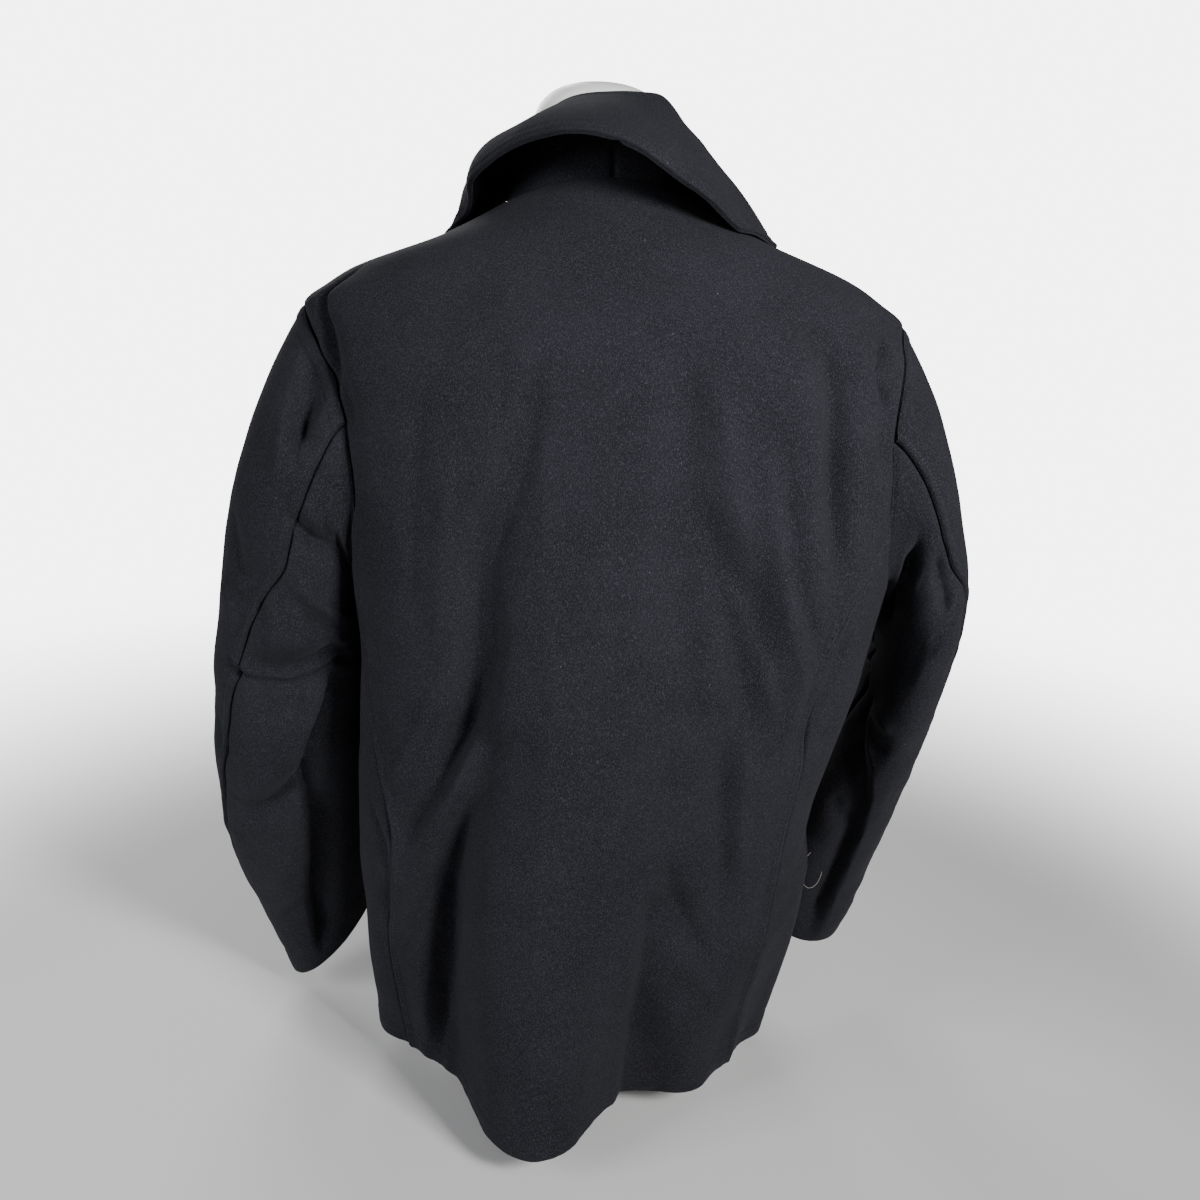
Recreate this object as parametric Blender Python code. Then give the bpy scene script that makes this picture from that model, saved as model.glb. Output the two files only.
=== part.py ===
"""Double-breasted pea coat of thick melton, standing open-necked on a limbless torso form.

The coat is worn on the form: its back faces +Y, its front -Y and its left side +X, with the
origin at the middle of the form's flat base. Every cloth piece is a closed wall. A shell of
rings, listed from hem to neck, gives the shape that the body panels share; two short tables
of sections give the sleeves and the collar. Neighbouring pieces meet with a seam gap.
"""
import math
from collections import namedtuple

import bmesh
import bpy
import numpy as np
from mathutils import Matrix, Vector

# ---------------------------------------------------------------- driving dimensions, metres
HEM_CLEARANCE = 0.030      # from the form's base up to the hem; all heights below start at the hem
CLOTH = 0.0030             # melton wall of body and sleeves
COLLAR_CLOTH = 0.0020      # each of the two collar layers
LAPEL_CLOTH = 0.0040       # facing with the turned front under it
CREASE_FADE = 0.25         # share of a crease over which it fades at each end
COLLAR_LIFT = 0.0016       # from the neck edge up to the collar's middle
LEAF_CLEARANCE = 0.0014    # from the collar's leaf to the shoulders
SEAM_GAP = 0.0003
LAP_DEPTH = 0.0056         # how far the under front steps in below the over front
LAP_MARGIN = 16.0          # where the step starts, degrees before the over front's edge
LAP_SLOPE = 12.0           # degrees it takes
SKIN_LIFT = 0.0016         # from a panel to what lies on it
FORM_GAP = 0.0008          # from the coat to the form where the coat rests on it
OVERLAP = 0.075            # each front edge past the middle
BREAK_LEVEL = 0.455        # where the fronts start to turn back
LAPEL_WRAP = (110.0, 80.0, 50.0, 22.0, 0.0)   # how the lapel's cloth turns round the roll, degrees
NECK_LEVEL = 0.743
NECK_END = 118.0           # where the collar ends, degrees round the neck from the back
ARMHOLE_TOP = 0.660
ARMHOLE_BOTTOM = 0.445
ARMHOLE_BACK_LEFT = (27.0, 1.15)    # how far the armhole reaches round the body, degrees, and how it grows
ARMHOLE_BACK_RIGHT = (30.0, 0.75)
ARMHOLE_FRONT = (27.0, 0.85)
JOIN_TURN = 120            # where the side panel's seams meet the armhole, degrees round it
HIND_SEAM = 80             # sleeve seams on the armhole, degrees round it from the shoulder
FORE_SEAM = 220
TURN_STEP = 20
BUTTON_RADIUS = 0.0145
BUTTON_SIDES = 18
BUTTON_THICK = 0.0040
BUTTON_SPREAD = 0.052
BUTTON_HEIGHTS = (0.200, 0.310, 0.420)
BUTTON_RIM = 0.16          # share of its radius
BUTTON_BEVEL = 0.10        # share of its radius, from the rim down to the well
BUTTON_WELL = 0.28         # share of its thickness
WELT_LEVEL = 0.150         # low end of a welt
WELT_LENGTH = 0.150
WELT_TURN = 8.1            # width of a welt, in degrees round the body
WELT_START = 137.0         # angle of the low end's outer side
WELT_LEAN = 7.0            # how far the high end turns back towards the side seam
WELT_THICK = 0.0026
TRIM_LIFT = 0.0005         # from a front to the buttons and welts on it

# ---------------------------------------------------------------- tables
Ring = namedtuple("Ring", "level back_z front_z half_width back_depth front_depth centre_x square")
RINGS = (
    Ring(0.000, 0.000, 0.000, 0.183, 0.121, 0.155, 0.005, 1.85),   # hem
    Ring(0.110, 0.110, 0.110, 0.199, 0.126, 0.152, 0.000, 2.1),
    Ring(0.260, 0.262, 0.260, 0.208, 0.131, 0.147, -0.004, 2.4),   # waist
    Ring(0.400, 0.405, 0.400, 0.221, 0.137, 0.143, -0.021, 2.6),
    Ring(0.500, 0.512, 0.503, 0.230, 0.141, 0.137, -0.020, 2.7),   # under the arms
    Ring(0.580, 0.602, 0.586, 0.236, 0.138, 0.126, -0.014, 2.6),
    Ring(0.630, 0.660, 0.638, 0.241, 0.127, 0.112, -0.008, 2.4),
    Ring(0.660, 0.695, 0.671, 0.241, 0.111, 0.097, -0.001, 2.2),   # shoulder points
    Ring(0.677, 0.710, 0.688, 0.221, 0.104, 0.092, 0.000, 2.15),
    Ring(0.691, 0.722, 0.702, 0.198, 0.098, 0.088, 0.000, 2.1),
    Ring(0.712, 0.741, 0.722, 0.141, 0.086, 0.078, 0.001, 2.0),
    Ring(0.743, 0.762, 0.735, 0.080, 0.070, 0.068, 0.002, 2.0),    # neck seam
)

Fold = namedtuple("Fold", "low high low_angle high_angle width rise")
FOLDS = (                                                # flares that open towards the hem
    Fold(0.00, 0.56, 11.5, 9.0, 16.6, 0.074),            # the deep flute of the back
    Fold(0.00, 0.30, -33.0, -36.0, 8.0, 0.005),
    Fold(0.00, 0.30, 60.0, 52.0, 10.0, -0.010),
    Fold(0.00, 0.24, -62.0, -58.0, 9.0, -0.008),
    Fold(0.00, 0.40, 128.0, 124.0, 12.0, 0.014),
    Fold(0.00, 0.40, -132.0, -126.0, 12.0, 0.016),
    Fold(0.00, 0.28, 160.0, 164.0, 9.0, 0.008),
)

FLARE_GROWTH = 1.35        # how a flare grows towards the hem
FLARE_FLATNESS = 2.6       # how flat its crest is

Crease = namedtuple("Crease", "width rise path")
BODY_TURN = 0.0030         # cloth of the body for each degree round it
BODY_CREASES = (           # path of angle and level
    Crease(0.017, -0.010, ((18, 0.550), (19.5, 0.470), (22, 0.400), (26.5, 0.350), (34.5, 0.288),
                           (49, 0.218), (60, 0.178))),                      # slants to the left hip
    Crease(0.013, 0.007, ((25, 0.345), (33, 0.298), (42, 0.250), (54, 0.200), (63, 0.170))),
    Crease(0.016, -0.007, ((21, 0.340), (22, 0.290), (26, 0.244), (34.5, 0.168), (40, 0.100),
                           (47, 0.000), (50, -0.100))),
    Crease(0.022, 0.008, ((-7, 0.195), (-12, 0.150), (-19, 0.100), (-30, 0.040), (-34, 0.000),
                          (-38, -0.100))),
    Crease(0.016, -0.007, ((-42, 0.650), (-39.5, 0.620), (-35.5, 0.580), (-35, 0.530), (-39, 0.480))),
    Crease(0.018, 0.006, ((-29, 0.640), (-28, 0.560), (-29, 0.460), (-33, 0.360))),
    Crease(0.012, -0.004, ((-18, 0.640), (-18.5, 0.550), (-19, 0.440), (-21, 0.370))),
    Crease(0.014, -0.005, ((-15, 0.385), (-22, 0.306), (-28.5, 0.212), (-32.5, 0.134))),
    Crease(0.014, -0.007, ((-56, 0.650), (-54, 0.600), (-55, 0.540))),      # beside the right armhole
    Crease(0.012, -0.007, ((64, 0.655), (62, 0.610), (58, 0.560))),         # beside the left armhole
)

SeamRow = namedtuple("SeamRow", "level back_left back_right front")
SEAMS = (
    SeamRow(0.000, 62.0, 53.0, 106.0),
    SeamRow(0.075, 62.0, 49.0, 107.0),
    SeamRow(0.120, 61.0, 49.5, 107.5),
    SeamRow(0.165, 57.5, 49.3, 108.0),
    SeamRow(0.210, 53.0, 49.0, 109.0),
    SeamRow(0.270, 56.0, 47.5, 110.0),
    SeamRow(0.310, 63.0, 45.0, 111.0),
    SeamRow(0.335, 69.0, 42.5, 112.0),
    SeamRow(0.370, 73.0, 40.5, 112.5),
    SeamRow(0.430, 74.0, 43.5, 113.0),
    SeamRow(0.465, 72.0, 51.0, 113.5),
)

Section = namedtuple("Section", "outer_x outer_z inner_x inner_z centre_y half_depth tilt hind fore")
LEFT_SLEEVE = (
    Section(0.240, 0.660, 0.205, 0.445, 0.000, 0.078, 0.0, 80.0, 220.0),     # armhole
    Section(0.273, 0.601, 0.207, 0.430, 0.002, 0.079, 0.0, 93.0, 218.0),
    Section(0.298, 0.531, 0.205, 0.410, -0.002, 0.075, 0.0, 94.0, 215.0),
    Section(0.317, 0.451, 0.203, 0.381, -0.014, 0.069, 0.0, 76.0, 212.0),
    Section(0.330, 0.351, 0.202, 0.335, -0.020, 0.065, 8.0, 52.0, 208.0),    # elbow
    Section(0.339, 0.251, 0.203, 0.270, -0.038, 0.061, 18.0, 38.0, 205.0),
    Section(0.329, 0.136, 0.206, 0.172, -0.066, 0.055, 22.0, 12.0, 200.0),
    Section(0.289, -0.003, 0.208, 0.076, -0.098, 0.045, 20.0, 8.0, 200.0),   # cuff
)
RIGHT_SLEEVE = (
    Section(0.241, 0.660, 0.246, 0.445, 0.000, 0.076, 0.0, 80.0, 220.0),     # armhole
    Section(0.276, 0.603, 0.254, 0.433, 0.004, 0.077, 0.0, 83.0, 216.0),
    Section(0.300, 0.526, 0.254, 0.412, 0.008, 0.073, 0.0, 78.0, 208.0),
    Section(0.316, 0.456, 0.256, 0.385, 0.008, 0.067, 0.0, 50.0, 202.0),
    Section(0.314, 0.381, 0.250, 0.342, 0.000, 0.063, 8.0, 34.0, 200.0),     # elbow
    Section(0.307, 0.281, 0.230, 0.265, -0.030, 0.058, 18.0, 26.0, 200.0),
    Section(0.298, 0.166, 0.206, 0.165, -0.074, 0.053, 26.0, 18.0, 200.0),
    Section(0.281, 0.050, 0.184, 0.072, -0.110, 0.047, 28.0, 12.0, 200.0),   # cuff
)
FRONT_COLUMNS = 18
FRONT_CROWDING = 1.3       # above 1, a front's columns crowd towards its inner edge
BACK_COLUMNS = 27
ARMHOLE_BLEND = 2.2        # sections over which the armhole's outline turns into an oval
MITRE_LIMIT = 0.6          # least cosine of half the angle a mitre follows
SLEEVE_RINGS = 19

SLEEVE_TURN = 0.0013       # cloth of a sleeve for each degree round it
SLEEVE_ROW = 0.095         # cloth of a sleeve between two sections
LEFT_CREASES = (           # path of angle and section
    Crease(0.020, -0.012, ((52, 0.15), (60, 0.48), (67, 0.70), (78, 1.05))),           # below the shoulder
    Crease(0.030, 0.007, ((75, 3.15), (100, 3.10), (125, 2.90))),                      # elbow fullness
    Crease(0.015, -0.012, ((60, 3.75), (89, 3.68), (107, 3.58), (126, 3.38), (146, 3.08))),
    Crease(0.016, -0.007, ((48, 5.35), (75, 5.22), (95, 5.02), (112, 4.75))),
    Crease(0.014, -0.006, ((140, 0.60), (120, 0.90), (105, 1.10))),
)
RIGHT_CREASES = (
    Crease(0.018, -0.010, ((100, 1.45), (118, 1.15), (140, 1.10), (165, 1.70), (180, 2.70))),
    Crease(0.016, -0.006, ((96, 1.55), (90, 2.20), (86, 2.70))),
    Crease(0.018, -0.007, ((176, 3.90), (160, 4.30), (130, 4.60), (105, 4.75))),
    Crease(0.030, 0.006, ((60, 3.40), (95, 3.35), (130, 3.30))),                       # elbow fullness
)

CollarRow = namedtuple("CollarRow", "angle roll_x roll_y roll_z edge_x edge_y edge_z bow")
COLLAR = (
    CollarRow(-118.0, -0.074, -0.042, 0.751, -0.134, -0.083, 0.697, 0.003),
    CollarRow(-92.0, -0.077, -0.018, 0.770, -0.139, -0.036, 0.712, 0.000),
    CollarRow(-66.0, -0.066, 0.020, 0.790, -0.124, 0.028, 0.718, 0.004),
    CollarRow(-42.0, -0.046, 0.046, 0.807, -0.093, 0.074, 0.728, 0.003),
    CollarRow(-20.0, -0.024, 0.057, 0.825, -0.052, 0.112, 0.754, 0.004),
    CollarRow(0.0, 0.004, 0.061, 0.822, 0.004, 0.136, 0.782, 0.005),
    CollarRow(20.0, 0.029, 0.058, 0.818, 0.038, 0.130, 0.786, 0.005),
    CollarRow(42.0, 0.050, 0.042, 0.808, 0.075, 0.100, 0.777, 0.006),
    CollarRow(66.0, 0.065, 0.016, 0.792, 0.105, 0.060, 0.757, 0.011),
    CollarRow(92.0, 0.074, -0.016, 0.776, 0.113, 0.000, 0.733, 0.015),
    CollarRow(105.0, 0.076, -0.030, 0.764, 0.136, -0.046, 0.714, 0.004),
    CollarRow(118.0, 0.076, -0.042, 0.752, 0.140, -0.086, 0.698, 0.003),
)
ROLL_LENGTH = 0.015        # cloth on each side of the roll taken up by its bend
ROLL_SHARE = 0.6           # most of the stand the roll may take up
ROLL_START = 0.36          # step of the collar's section where the roll starts
ROLL_END = 0.56
COLLAR_STATIONS = 27
COLLAR_STEPS = (0.0, 0.14, 0.27, 0.36, 0.42, 0.48, 0.56, 0.70, 0.85, 1.0)

LapelRow = namedtuple("LapelRow", "share roll_level edge_x edge_level")
LEFT_LAPEL = (
    LapelRow(0.00, 0.4580, -0.066, 0.4600),
    LapelRow(0.20, 0.5150, -0.006, 0.4960),
    LapelRow(0.40, 0.5720, 0.052, 0.5310),
    LapelRow(0.60, 0.6280, 0.100, 0.5640),
    LapelRow(0.80, 0.6850, 0.140, 0.5980),
    LapelRow(0.93, 0.7220, 0.162, 0.6240),
    LapelRow(1.00, 0.7405, 0.168, 0.6420),
)
RIGHT_LAPEL = (
    LapelRow(0.00, 0.6180, 0.052, 0.5270),    # passes under the over front's roll here
    LapelRow(0.25, 0.6490, 0.086, 0.5530),
    LapelRow(0.50, 0.6800, 0.118, 0.5790),
    LapelRow(0.75, 0.7110, 0.147, 0.6060),
    LapelRow(0.90, 0.7290, 0.163, 0.6260),
    LapelRow(1.00, 0.7405, 0.168, 0.6420),
)
LAPEL_ROWS = 16

FormRing = namedtuple("FormRing", "side_z back_z front_z half_width back_depth front_depth centre_x centre_y")
FORM_BODY = (
    FormRing(-0.030, -0.030, -0.030, 0.142, 0.062, 0.118, 0.000, 0.000),    # base
    FormRing(-0.022, -0.022, -0.022, 0.146, 0.066, 0.122, 0.000, 0.000),
    FormRing(0.060, 0.060, 0.060, 0.154, 0.082, 0.126, 0.000, 0.000),
    FormRing(0.160, 0.160, 0.160, 0.149, 0.088, 0.122, 0.000, 0.000),
    FormRing(0.270, 0.270, 0.270, 0.143, 0.088, 0.115, -0.002, 0.000),      # waist
    FormRing(0.370, 0.370, 0.370, 0.156, 0.098, 0.117, -0.006, 0.000),
    FormRing(0.470, 0.475, 0.470, 0.174, 0.108, 0.117, -0.008, 0.000),
    FormRing(0.560, 0.575, 0.565, 0.184, 0.110, 0.108, -0.006, 0.000),
    FormRing(0.620, 0.640, 0.628, 0.190, 0.104, 0.096, -0.003, 0.000),
    FormRing(0.656, 0.678, 0.664, 0.186, 0.095, 0.085, 0.000, 0.000),
    FormRing(0.682, 0.702, 0.690, 0.172, 0.088, 0.080, 0.000, 0.000),       # shoulder caps
)
FORM_YOKE_LEVELS = (0.707, 0.716, 0.726)   # body levels where the coat rests on the form
FORM_NECK = (
    FormRing(0.7345, 0.7480, 0.724, 0.080, 0.066, 0.062, 0.002, 0.000),
    FormRing(0.746, 0.757, 0.736, 0.068, 0.058, 0.058, 0.004, -0.002),
    FormRing(0.766, 0.770, 0.758, 0.060, 0.052, 0.057, 0.007, -0.006),
    FormRing(0.790, 0.790, 0.788, 0.056, 0.050, 0.055, 0.009, -0.010),
    FormRing(0.808, 0.808, 0.808, 0.053, 0.048, 0.053, 0.010, -0.012),
    FormRing(0.820, 0.820, 0.820, 0.047, 0.043, 0.047, 0.010, -0.012),
    FormRing(0.829, 0.829, 0.829, 0.036, 0.033, 0.036, 0.010, -0.012),
    FormRing(0.834, 0.834, 0.834, 0.020, 0.018, 0.020, 0.010, -0.012),
)
FORM_TOP_Z = 0.8355
FORM_FRONT_DROP = 0.012    # extra room below the front neckline and the lapels
FORM_DROP_START = 92.0     # degrees from the middle of the back where that room starts
FORM_DROP_SLOPE = 30.0
FORM_SIDES = 32

Finish = namedtuple("Finish", "colour roughness metallic")
FINISHES = {
    "melton": Finish((0.020, 0.021, 0.026), 0.95, 0.0),
    "button_plastic": Finish((0.012, 0.012, 0.014), 0.35, 0.0),
    "form_shell": Finish((0.80, 0.80, 0.79), 0.45, 0.0),
}


# ---------------------------------------------------------------- curves and shells
def curve(at, stations, values):
    """Smooth curve through values at rising stations, never past them, held level beyond both ends."""
    stations = np.asarray(stations, float)
    values = np.asarray(values, float)
    slopes = np.gradient(values, stations)
    chords = np.diff(values) / np.diff(stations)
    steepest = 3 * np.minimum(np.abs(chords[:-1]), np.abs(chords[1:]))
    rising = chords[:-1] * chords[1:] > 0
    slopes[1:-1] = np.where(rising, np.clip(slopes[1:-1], -steepest, steepest), 0.0)
    at = np.clip(at, stations[0], stations[-1])
    k = np.clip(np.searchsorted(stations, at, side="right") - 1, 0, len(stations) - 2)
    span = stations[k + 1] - stations[k]
    s = (at - stations[k]) / span
    start = (1 + 2 * s) * (1 - s) ** 2 * values[k] + s * (1 - s) ** 2 * span * slopes[k]
    end = s * s * (3 - 2 * s) * values[k + 1] - s * s * (1 - s) * span * slopes[k + 1]
    return start + end


def columns(table, at, stations=None):
    """Every column of a table read at the same place, as one named row of arrays."""
    kind = type(table[0])
    if stations is None:
        stations = [row[0] for row in table]
    return kind(*(curve(at, stations, [row[i] for row in table]) for i in range(len(kind._fields))))


def smooth(x):
    """Soft step from 0 to 1."""
    x = np.clip(x, 0.0, 1.0)
    return x * x * (3 - 2 * x)


def unit(v):
    return v / np.maximum(np.linalg.norm(v, axis=-1, keepdims=True), 1e-12)


def stack(x, y, z):
    return np.stack(np.broadcast_arrays(x, y, z), axis=-1)


def fold_rise(angle, level):
    """How far the flares and creases lift the body shell, from its angle and level."""
    rise = crease_rise(BODY_CREASES, angle, level, BODY_TURN, 1.0)
    for fold in FOLDS:
        along = np.clip((level - fold.low) / (fold.high - fold.low), 0.0, 1.0)
        middle = fold.low_angle + (fold.high_angle - fold.low_angle) * along
        away = (angle - middle + 180.0) % 360.0 - 180.0
        crest = np.exp(-np.abs(away / fold.width) ** FLARE_FLATNESS)
        rise = rise + fold.rise * (1.0 - along) ** FLARE_GROWTH * crest
    return rise


def crease_rise(creases, angle, height, turn_size, row_size):
    """How far soft creases along given paths lift a shell, fading at the ends of each."""
    x, y = np.broadcast_arrays(np.asarray(angle, float) * turn_size, np.asarray(height, float) * row_size)
    rise = np.zeros(x.shape)
    for crease in creases:
        path = np.array(crease.path, float) * (turn_size, row_size)
        lengths = np.linalg.norm(np.diff(path, axis=0), axis=1)
        nearest = np.full(x.shape, np.inf)
        along = np.zeros(x.shape)
        for start, end, before in zip(path, path[1:], np.cumsum(lengths) - lengths):
            way = end - start
            share = np.clip(((x - start[0]) * way[0] + (y - start[1]) * way[1]) / (way @ way), 0.0, 1.0)
            away = np.hypot(x - start[0] - share * way[0], y - start[1] - share * way[1])
            along = np.where(away < nearest, (before + share * math.sqrt(way @ way)) / lengths.sum(), along)
            nearest = np.minimum(nearest, away)
        fade = smooth(along / CREASE_FADE) * smooth((1.0 - along) / CREASE_FADE)
        rise = rise + crease.rise * fade * np.exp(-(nearest / crease.width) ** 2)
    return rise


def body_point(angle, level):
    """Outer face of the coat's body. Angle 0 is the middle of the back, 90 the left side."""
    angle = np.asarray(angle, float)
    level = np.asarray(level, float)
    row = columns(RINGS, level)
    across = np.sin(np.radians(angle))
    along = np.cos(np.radians(angle))
    power = 2.0 / row.square
    depth = np.where(along > 0, row.back_depth, row.front_depth)
    x = row.half_width * np.sign(across) * np.abs(across) ** power
    y = depth * np.sign(along) * np.abs(along) ** power
    out = unit(stack(x / row.half_width ** 2, y / depth ** 2, 0.0))
    rise = fold_rise(angle, level)
    top = np.where(along > 0, row.back_z, row.front_z)
    z = level + (top - level) * along ** 2
    return stack(x + row.centre_x, y, z) + out * rise[..., None]


def body_normal(angle, level):
    """Direction out of the body shell."""
    da, dl = 0.4, 0.0015
    level = np.clip(level, dl, NECK_LEVEL - dl)
    around = body_point(angle + da, level) - body_point(angle - da, level)
    up = body_point(angle, level + dl) - body_point(angle, level - dl)
    return unit(np.cross(up, around))


def angle_at(x, level):
    """Angle past the middle of the front where the shell reaches a distance x across."""
    row = columns(RINGS, level)
    reach = np.clip(np.abs(x) / row.half_width, 0.0, 1.0)
    return np.sign(x) * np.degrees(np.arcsin(reach ** (row.square / 2.0)))


# ---------------------------------------------------------------- seams
def armhole(side, turn):
    """Angle and level on the body of a place on the armhole, turning from the shoulder to the back."""
    level = (ARMHOLE_TOP + ARMHOLE_BOTTOM) / 2 + (ARMHOLE_TOP - ARMHOLE_BOTTOM) / 2 * np.cos(np.radians(turn))
    across = np.sin(np.radians(turn))
    back = ARMHOLE_BACK_LEFT if side > 0 else ARMHOLE_BACK_RIGHT
    reach = np.where(across > 0, back[0], ARMHOLE_FRONT[0])
    power = np.where(across > 0, back[1], ARMHOLE_FRONT[1])
    angle = 90.0 - reach * np.sign(across) * np.abs(across) ** power
    return side * angle, level


JOIN_LEVEL = float(armhole(1, JOIN_TURN)[1])


def armhole_turn(level):
    """Place on the back half of the armhole at a body level."""
    half = (ARMHOLE_TOP - ARMHOLE_BOTTOM) / 2
    return np.degrees(np.arccos(np.clip((level - ARMHOLE_BOTTOM - half) / half, -1.0, 1.0)))


def side_seam(side, level, front):
    """Angle of a side panel's seam, from the hem up to the armhole."""
    if front:
        values = [row.front for row in SEAMS]
        end = float(abs(armhole(side, 360 - JOIN_TURN)[0]))
    else:
        values = [row.back_left if side > 0 else row.back_right for row in SEAMS]
        end = float(abs(armhole(side, JOIN_TURN)[0]))
    levels = [row.level for row in SEAMS] + [JOIN_LEVEL]
    return curve(level, levels, values + [end])


def panel_edge(side, level, front):
    """Unsigned angle of a front or back panel's outer edge: side seam, armhole, then shoulder seam."""
    seam = side_seam(side, level, front)
    turn = armhole_turn(level)
    hole = np.abs(armhole(side, 360 - turn if front else turn)[0])
    edge = np.where(level < JOIN_LEVEL - 1e-6, seam, hole)
    return np.where(level >= ARMHOLE_TOP - 1e-6, 90.0, edge)


def roll_x(level):
    """How far a roll line is from the middle, on its own side."""
    top = columns(RINGS, NECK_LEVEL)
    end = top.half_width * math.sin(math.radians(NECK_END)) ** (2.0 / top.square)
    return np.interp(level, (BREAK_LEVEL, NECK_LEVEL), (-OVERLAP, end))


def front_edge(level):
    """Unsigned angle of a front's inner edge: the lap below the break, the roll above it."""
    return 180.0 - angle_at(roll_x(level), level)


def lap_step(side, angle, level):
    """How far the under front steps in to pass below the over front."""
    if side > 0:
        return np.zeros(np.broadcast(angle, level).shape)
    covered = 360.0 - front_edge(level)
    return LAP_DEPTH * smooth((np.abs(angle) - (covered - LAP_MARGIN)) / LAP_SLOPE)


def front_point(side, angle, level, lift=0.0):
    """Outer face of a front, lifted along its normal. The angle is unsigned."""
    signed = side * angle
    offset = lift - lap_step(side, angle, level)
    return body_point(signed, level) + body_normal(signed, level) * offset[..., None]


# ---------------------------------------------------------------- sleeves
def sleeve_table(side):
    return LEFT_SLEEVE if side > 0 else RIGHT_SLEEVE


def sleeve_angle(turn, row):
    """Angle round a sleeve section of a column that starts at a turn on the armhole."""
    turn = np.asarray(turn, float) % 360.0
    under = (turn >= HIND_SEAM) & (turn <= FORE_SEAM)
    share = (turn - HIND_SEAM) / (FORE_SEAM - HIND_SEAM)
    upper_turn = np.where(turn < HIND_SEAM, turn + 360.0, turn)
    upper_share = (upper_turn - FORE_SEAM) / (360.0 + HIND_SEAM - FORE_SEAM)
    lower = row.hind + (row.fore - row.hind) * share
    upper = row.fore + (360.0 + row.hind - row.fore) * upper_share
    return np.where(under, lower, upper)


def sleeve_point(side, turn, at):
    """Outer face of a sleeve. At counts sections from 0, the armhole, to the cuff."""
    turn = np.asarray(turn, float)
    at = np.asarray(at, float)
    table = sleeve_table(side)
    row = columns(table, at, range(len(table)))
    angle = sleeve_angle(turn, row)
    cos, sin = np.cos(np.radians(angle)), np.sin(np.radians(angle))
    tilt = np.radians(row.tilt)
    x = (row.outer_x + row.inner_x) / 2 + (row.outer_x - row.inner_x) / 2 * cos
    z = (row.outer_z + row.inner_z) / 2 + (row.outer_z - row.inner_z) / 2 * cos
    y = row.centre_y + row.half_depth * np.cos(tilt) * sin
    z = z - row.half_depth * np.sin(tilt) * sin
    oval = stack(side * x, y, z)
    middle = stack(side * (row.outer_x + row.inner_x) / 2, row.centre_y, (row.outer_z + row.inner_z) / 2)
    creases = LEFT_CREASES if side > 0 else RIGHT_CREASES
    rise = crease_rise(creases, angle % 360.0, at, SLEEVE_TURN, SLEEVE_ROW)
    oval = oval + unit(oval - middle) * rise[..., None]
    start = body_point(*armhole(side, turn))
    share = (1.0 - (1.0 - np.clip(at / ARMHOLE_BLEND, 0.0, 1.0)) ** 2)[..., None]
    return start + (oval - start) * share


def sleeve_normal(side, turn, at):
    """Direction out of a sleeve."""
    dt, da = 1.5, 0.02
    last = len(sleeve_table(side)) - 1
    at = np.clip(at, da, last - da)
    around = sleeve_point(side, turn + dt, at) - sleeve_point(side, turn - dt, at)
    down = sleeve_point(side, turn, at + da) - sleeve_point(side, turn, at - da)
    return unit(np.cross(down, around)) * side


def armhole_seam(side, turn):
    """Outer and inner points of the armhole seam, mitred, and the way from sleeve to body across it."""
    turn = np.asarray(turn, float)
    zero = np.zeros_like(turn)
    point = body_point(*armhole(side, turn))
    along = unit(body_point(*armhole(side, turn + 1.0)) - body_point(*armhole(side, turn - 1.0)))
    body = body_normal(*armhole(side, turn))
    sleeve = sleeve_normal(side, turn, zero)
    mitre = unit(body + sleeve)
    reach = CLOTH / np.maximum(np.sum(mitre * body, axis=-1), MITRE_LIMIT)
    centre = body_point(side * 90.0, (ARMHOLE_TOP + ARMHOLE_BOTTOM) / 2)
    panel = unit(np.cross(body, along))
    panel = panel * np.sign(np.sum(panel * (point - centre), axis=-1, keepdims=True))
    away = panel - unit(sleeve_point(side, turn, zero + 0.1) - point)
    across = unit(np.cross(along, mitre))
    across = across * np.sign(np.sum(across * away, axis=-1, keepdims=True))
    return point, point - mitre * reach[..., None], across


# ---------------------------------------------------------------- mesh makers
def material(name):
    finish = FINISHES[name]
    made = bpy.data.materials.get(name)
    if made:
        return made
    made = bpy.data.materials.new(name)
    made.use_nodes = True
    shader = made.node_tree.nodes["Principled BSDF"]
    shader.inputs["Base Color"].default_value = (*finish.colour, 1.0)
    shader.inputs["Roughness"].default_value = finish.roughness
    shader.inputs["Metallic"].default_value = finish.metallic
    return made


def add_object(name, bm, collection, finish):
    """Puts a finished mesh into the collection, standing on the form's base."""
    bmesh.ops.recalc_face_normals(bm, faces=bm.faces)
    bmesh.ops.triangulate(bm, faces=bm.faces, quad_method="SHORT_EDGE")
    bmesh.ops.translate(bm, verts=bm.verts, vec=(0.0, 0.0, HEM_CLEARANCE))
    mesh = bpy.data.meshes.new(name)
    bm.to_mesh(mesh)
    bm.free()
    mesh.materials.append(material(finish))
    mesh.shade_smooth()
    mesh.set_sharp_from_angle(angle=math.radians(50))
    thing = bpy.data.objects.new(name, mesh)
    collection.objects.link(thing)
    return thing


def retreat(outer, inner, sides, distance=SEAM_GAP / 2):
    """Draws a panel's seam edges back along the cloth, so that neighbours stay a gap apart."""
    edges = {"left": ((slice(None), 0), (slice(None), 1)), "right": ((slice(None), -1), (slice(None), -2)),
             "low": ((0, slice(None)), (1, slice(None))), "high": ((-1, slice(None)), (-2, slice(None)))}
    steps = []
    for side in sides:
        edge, inside = edges[side]
        step = outer[inside] - outer[edge]
        along = unit(np.gradient(outer[edge], axis=0))
        step = step - along * np.sum(step * along, axis=-1, keepdims=True)
        steps.append((edge, unit(step) * distance))
    for edge, step in steps:
        outer[edge] += step
        inner[edge] += step


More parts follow.
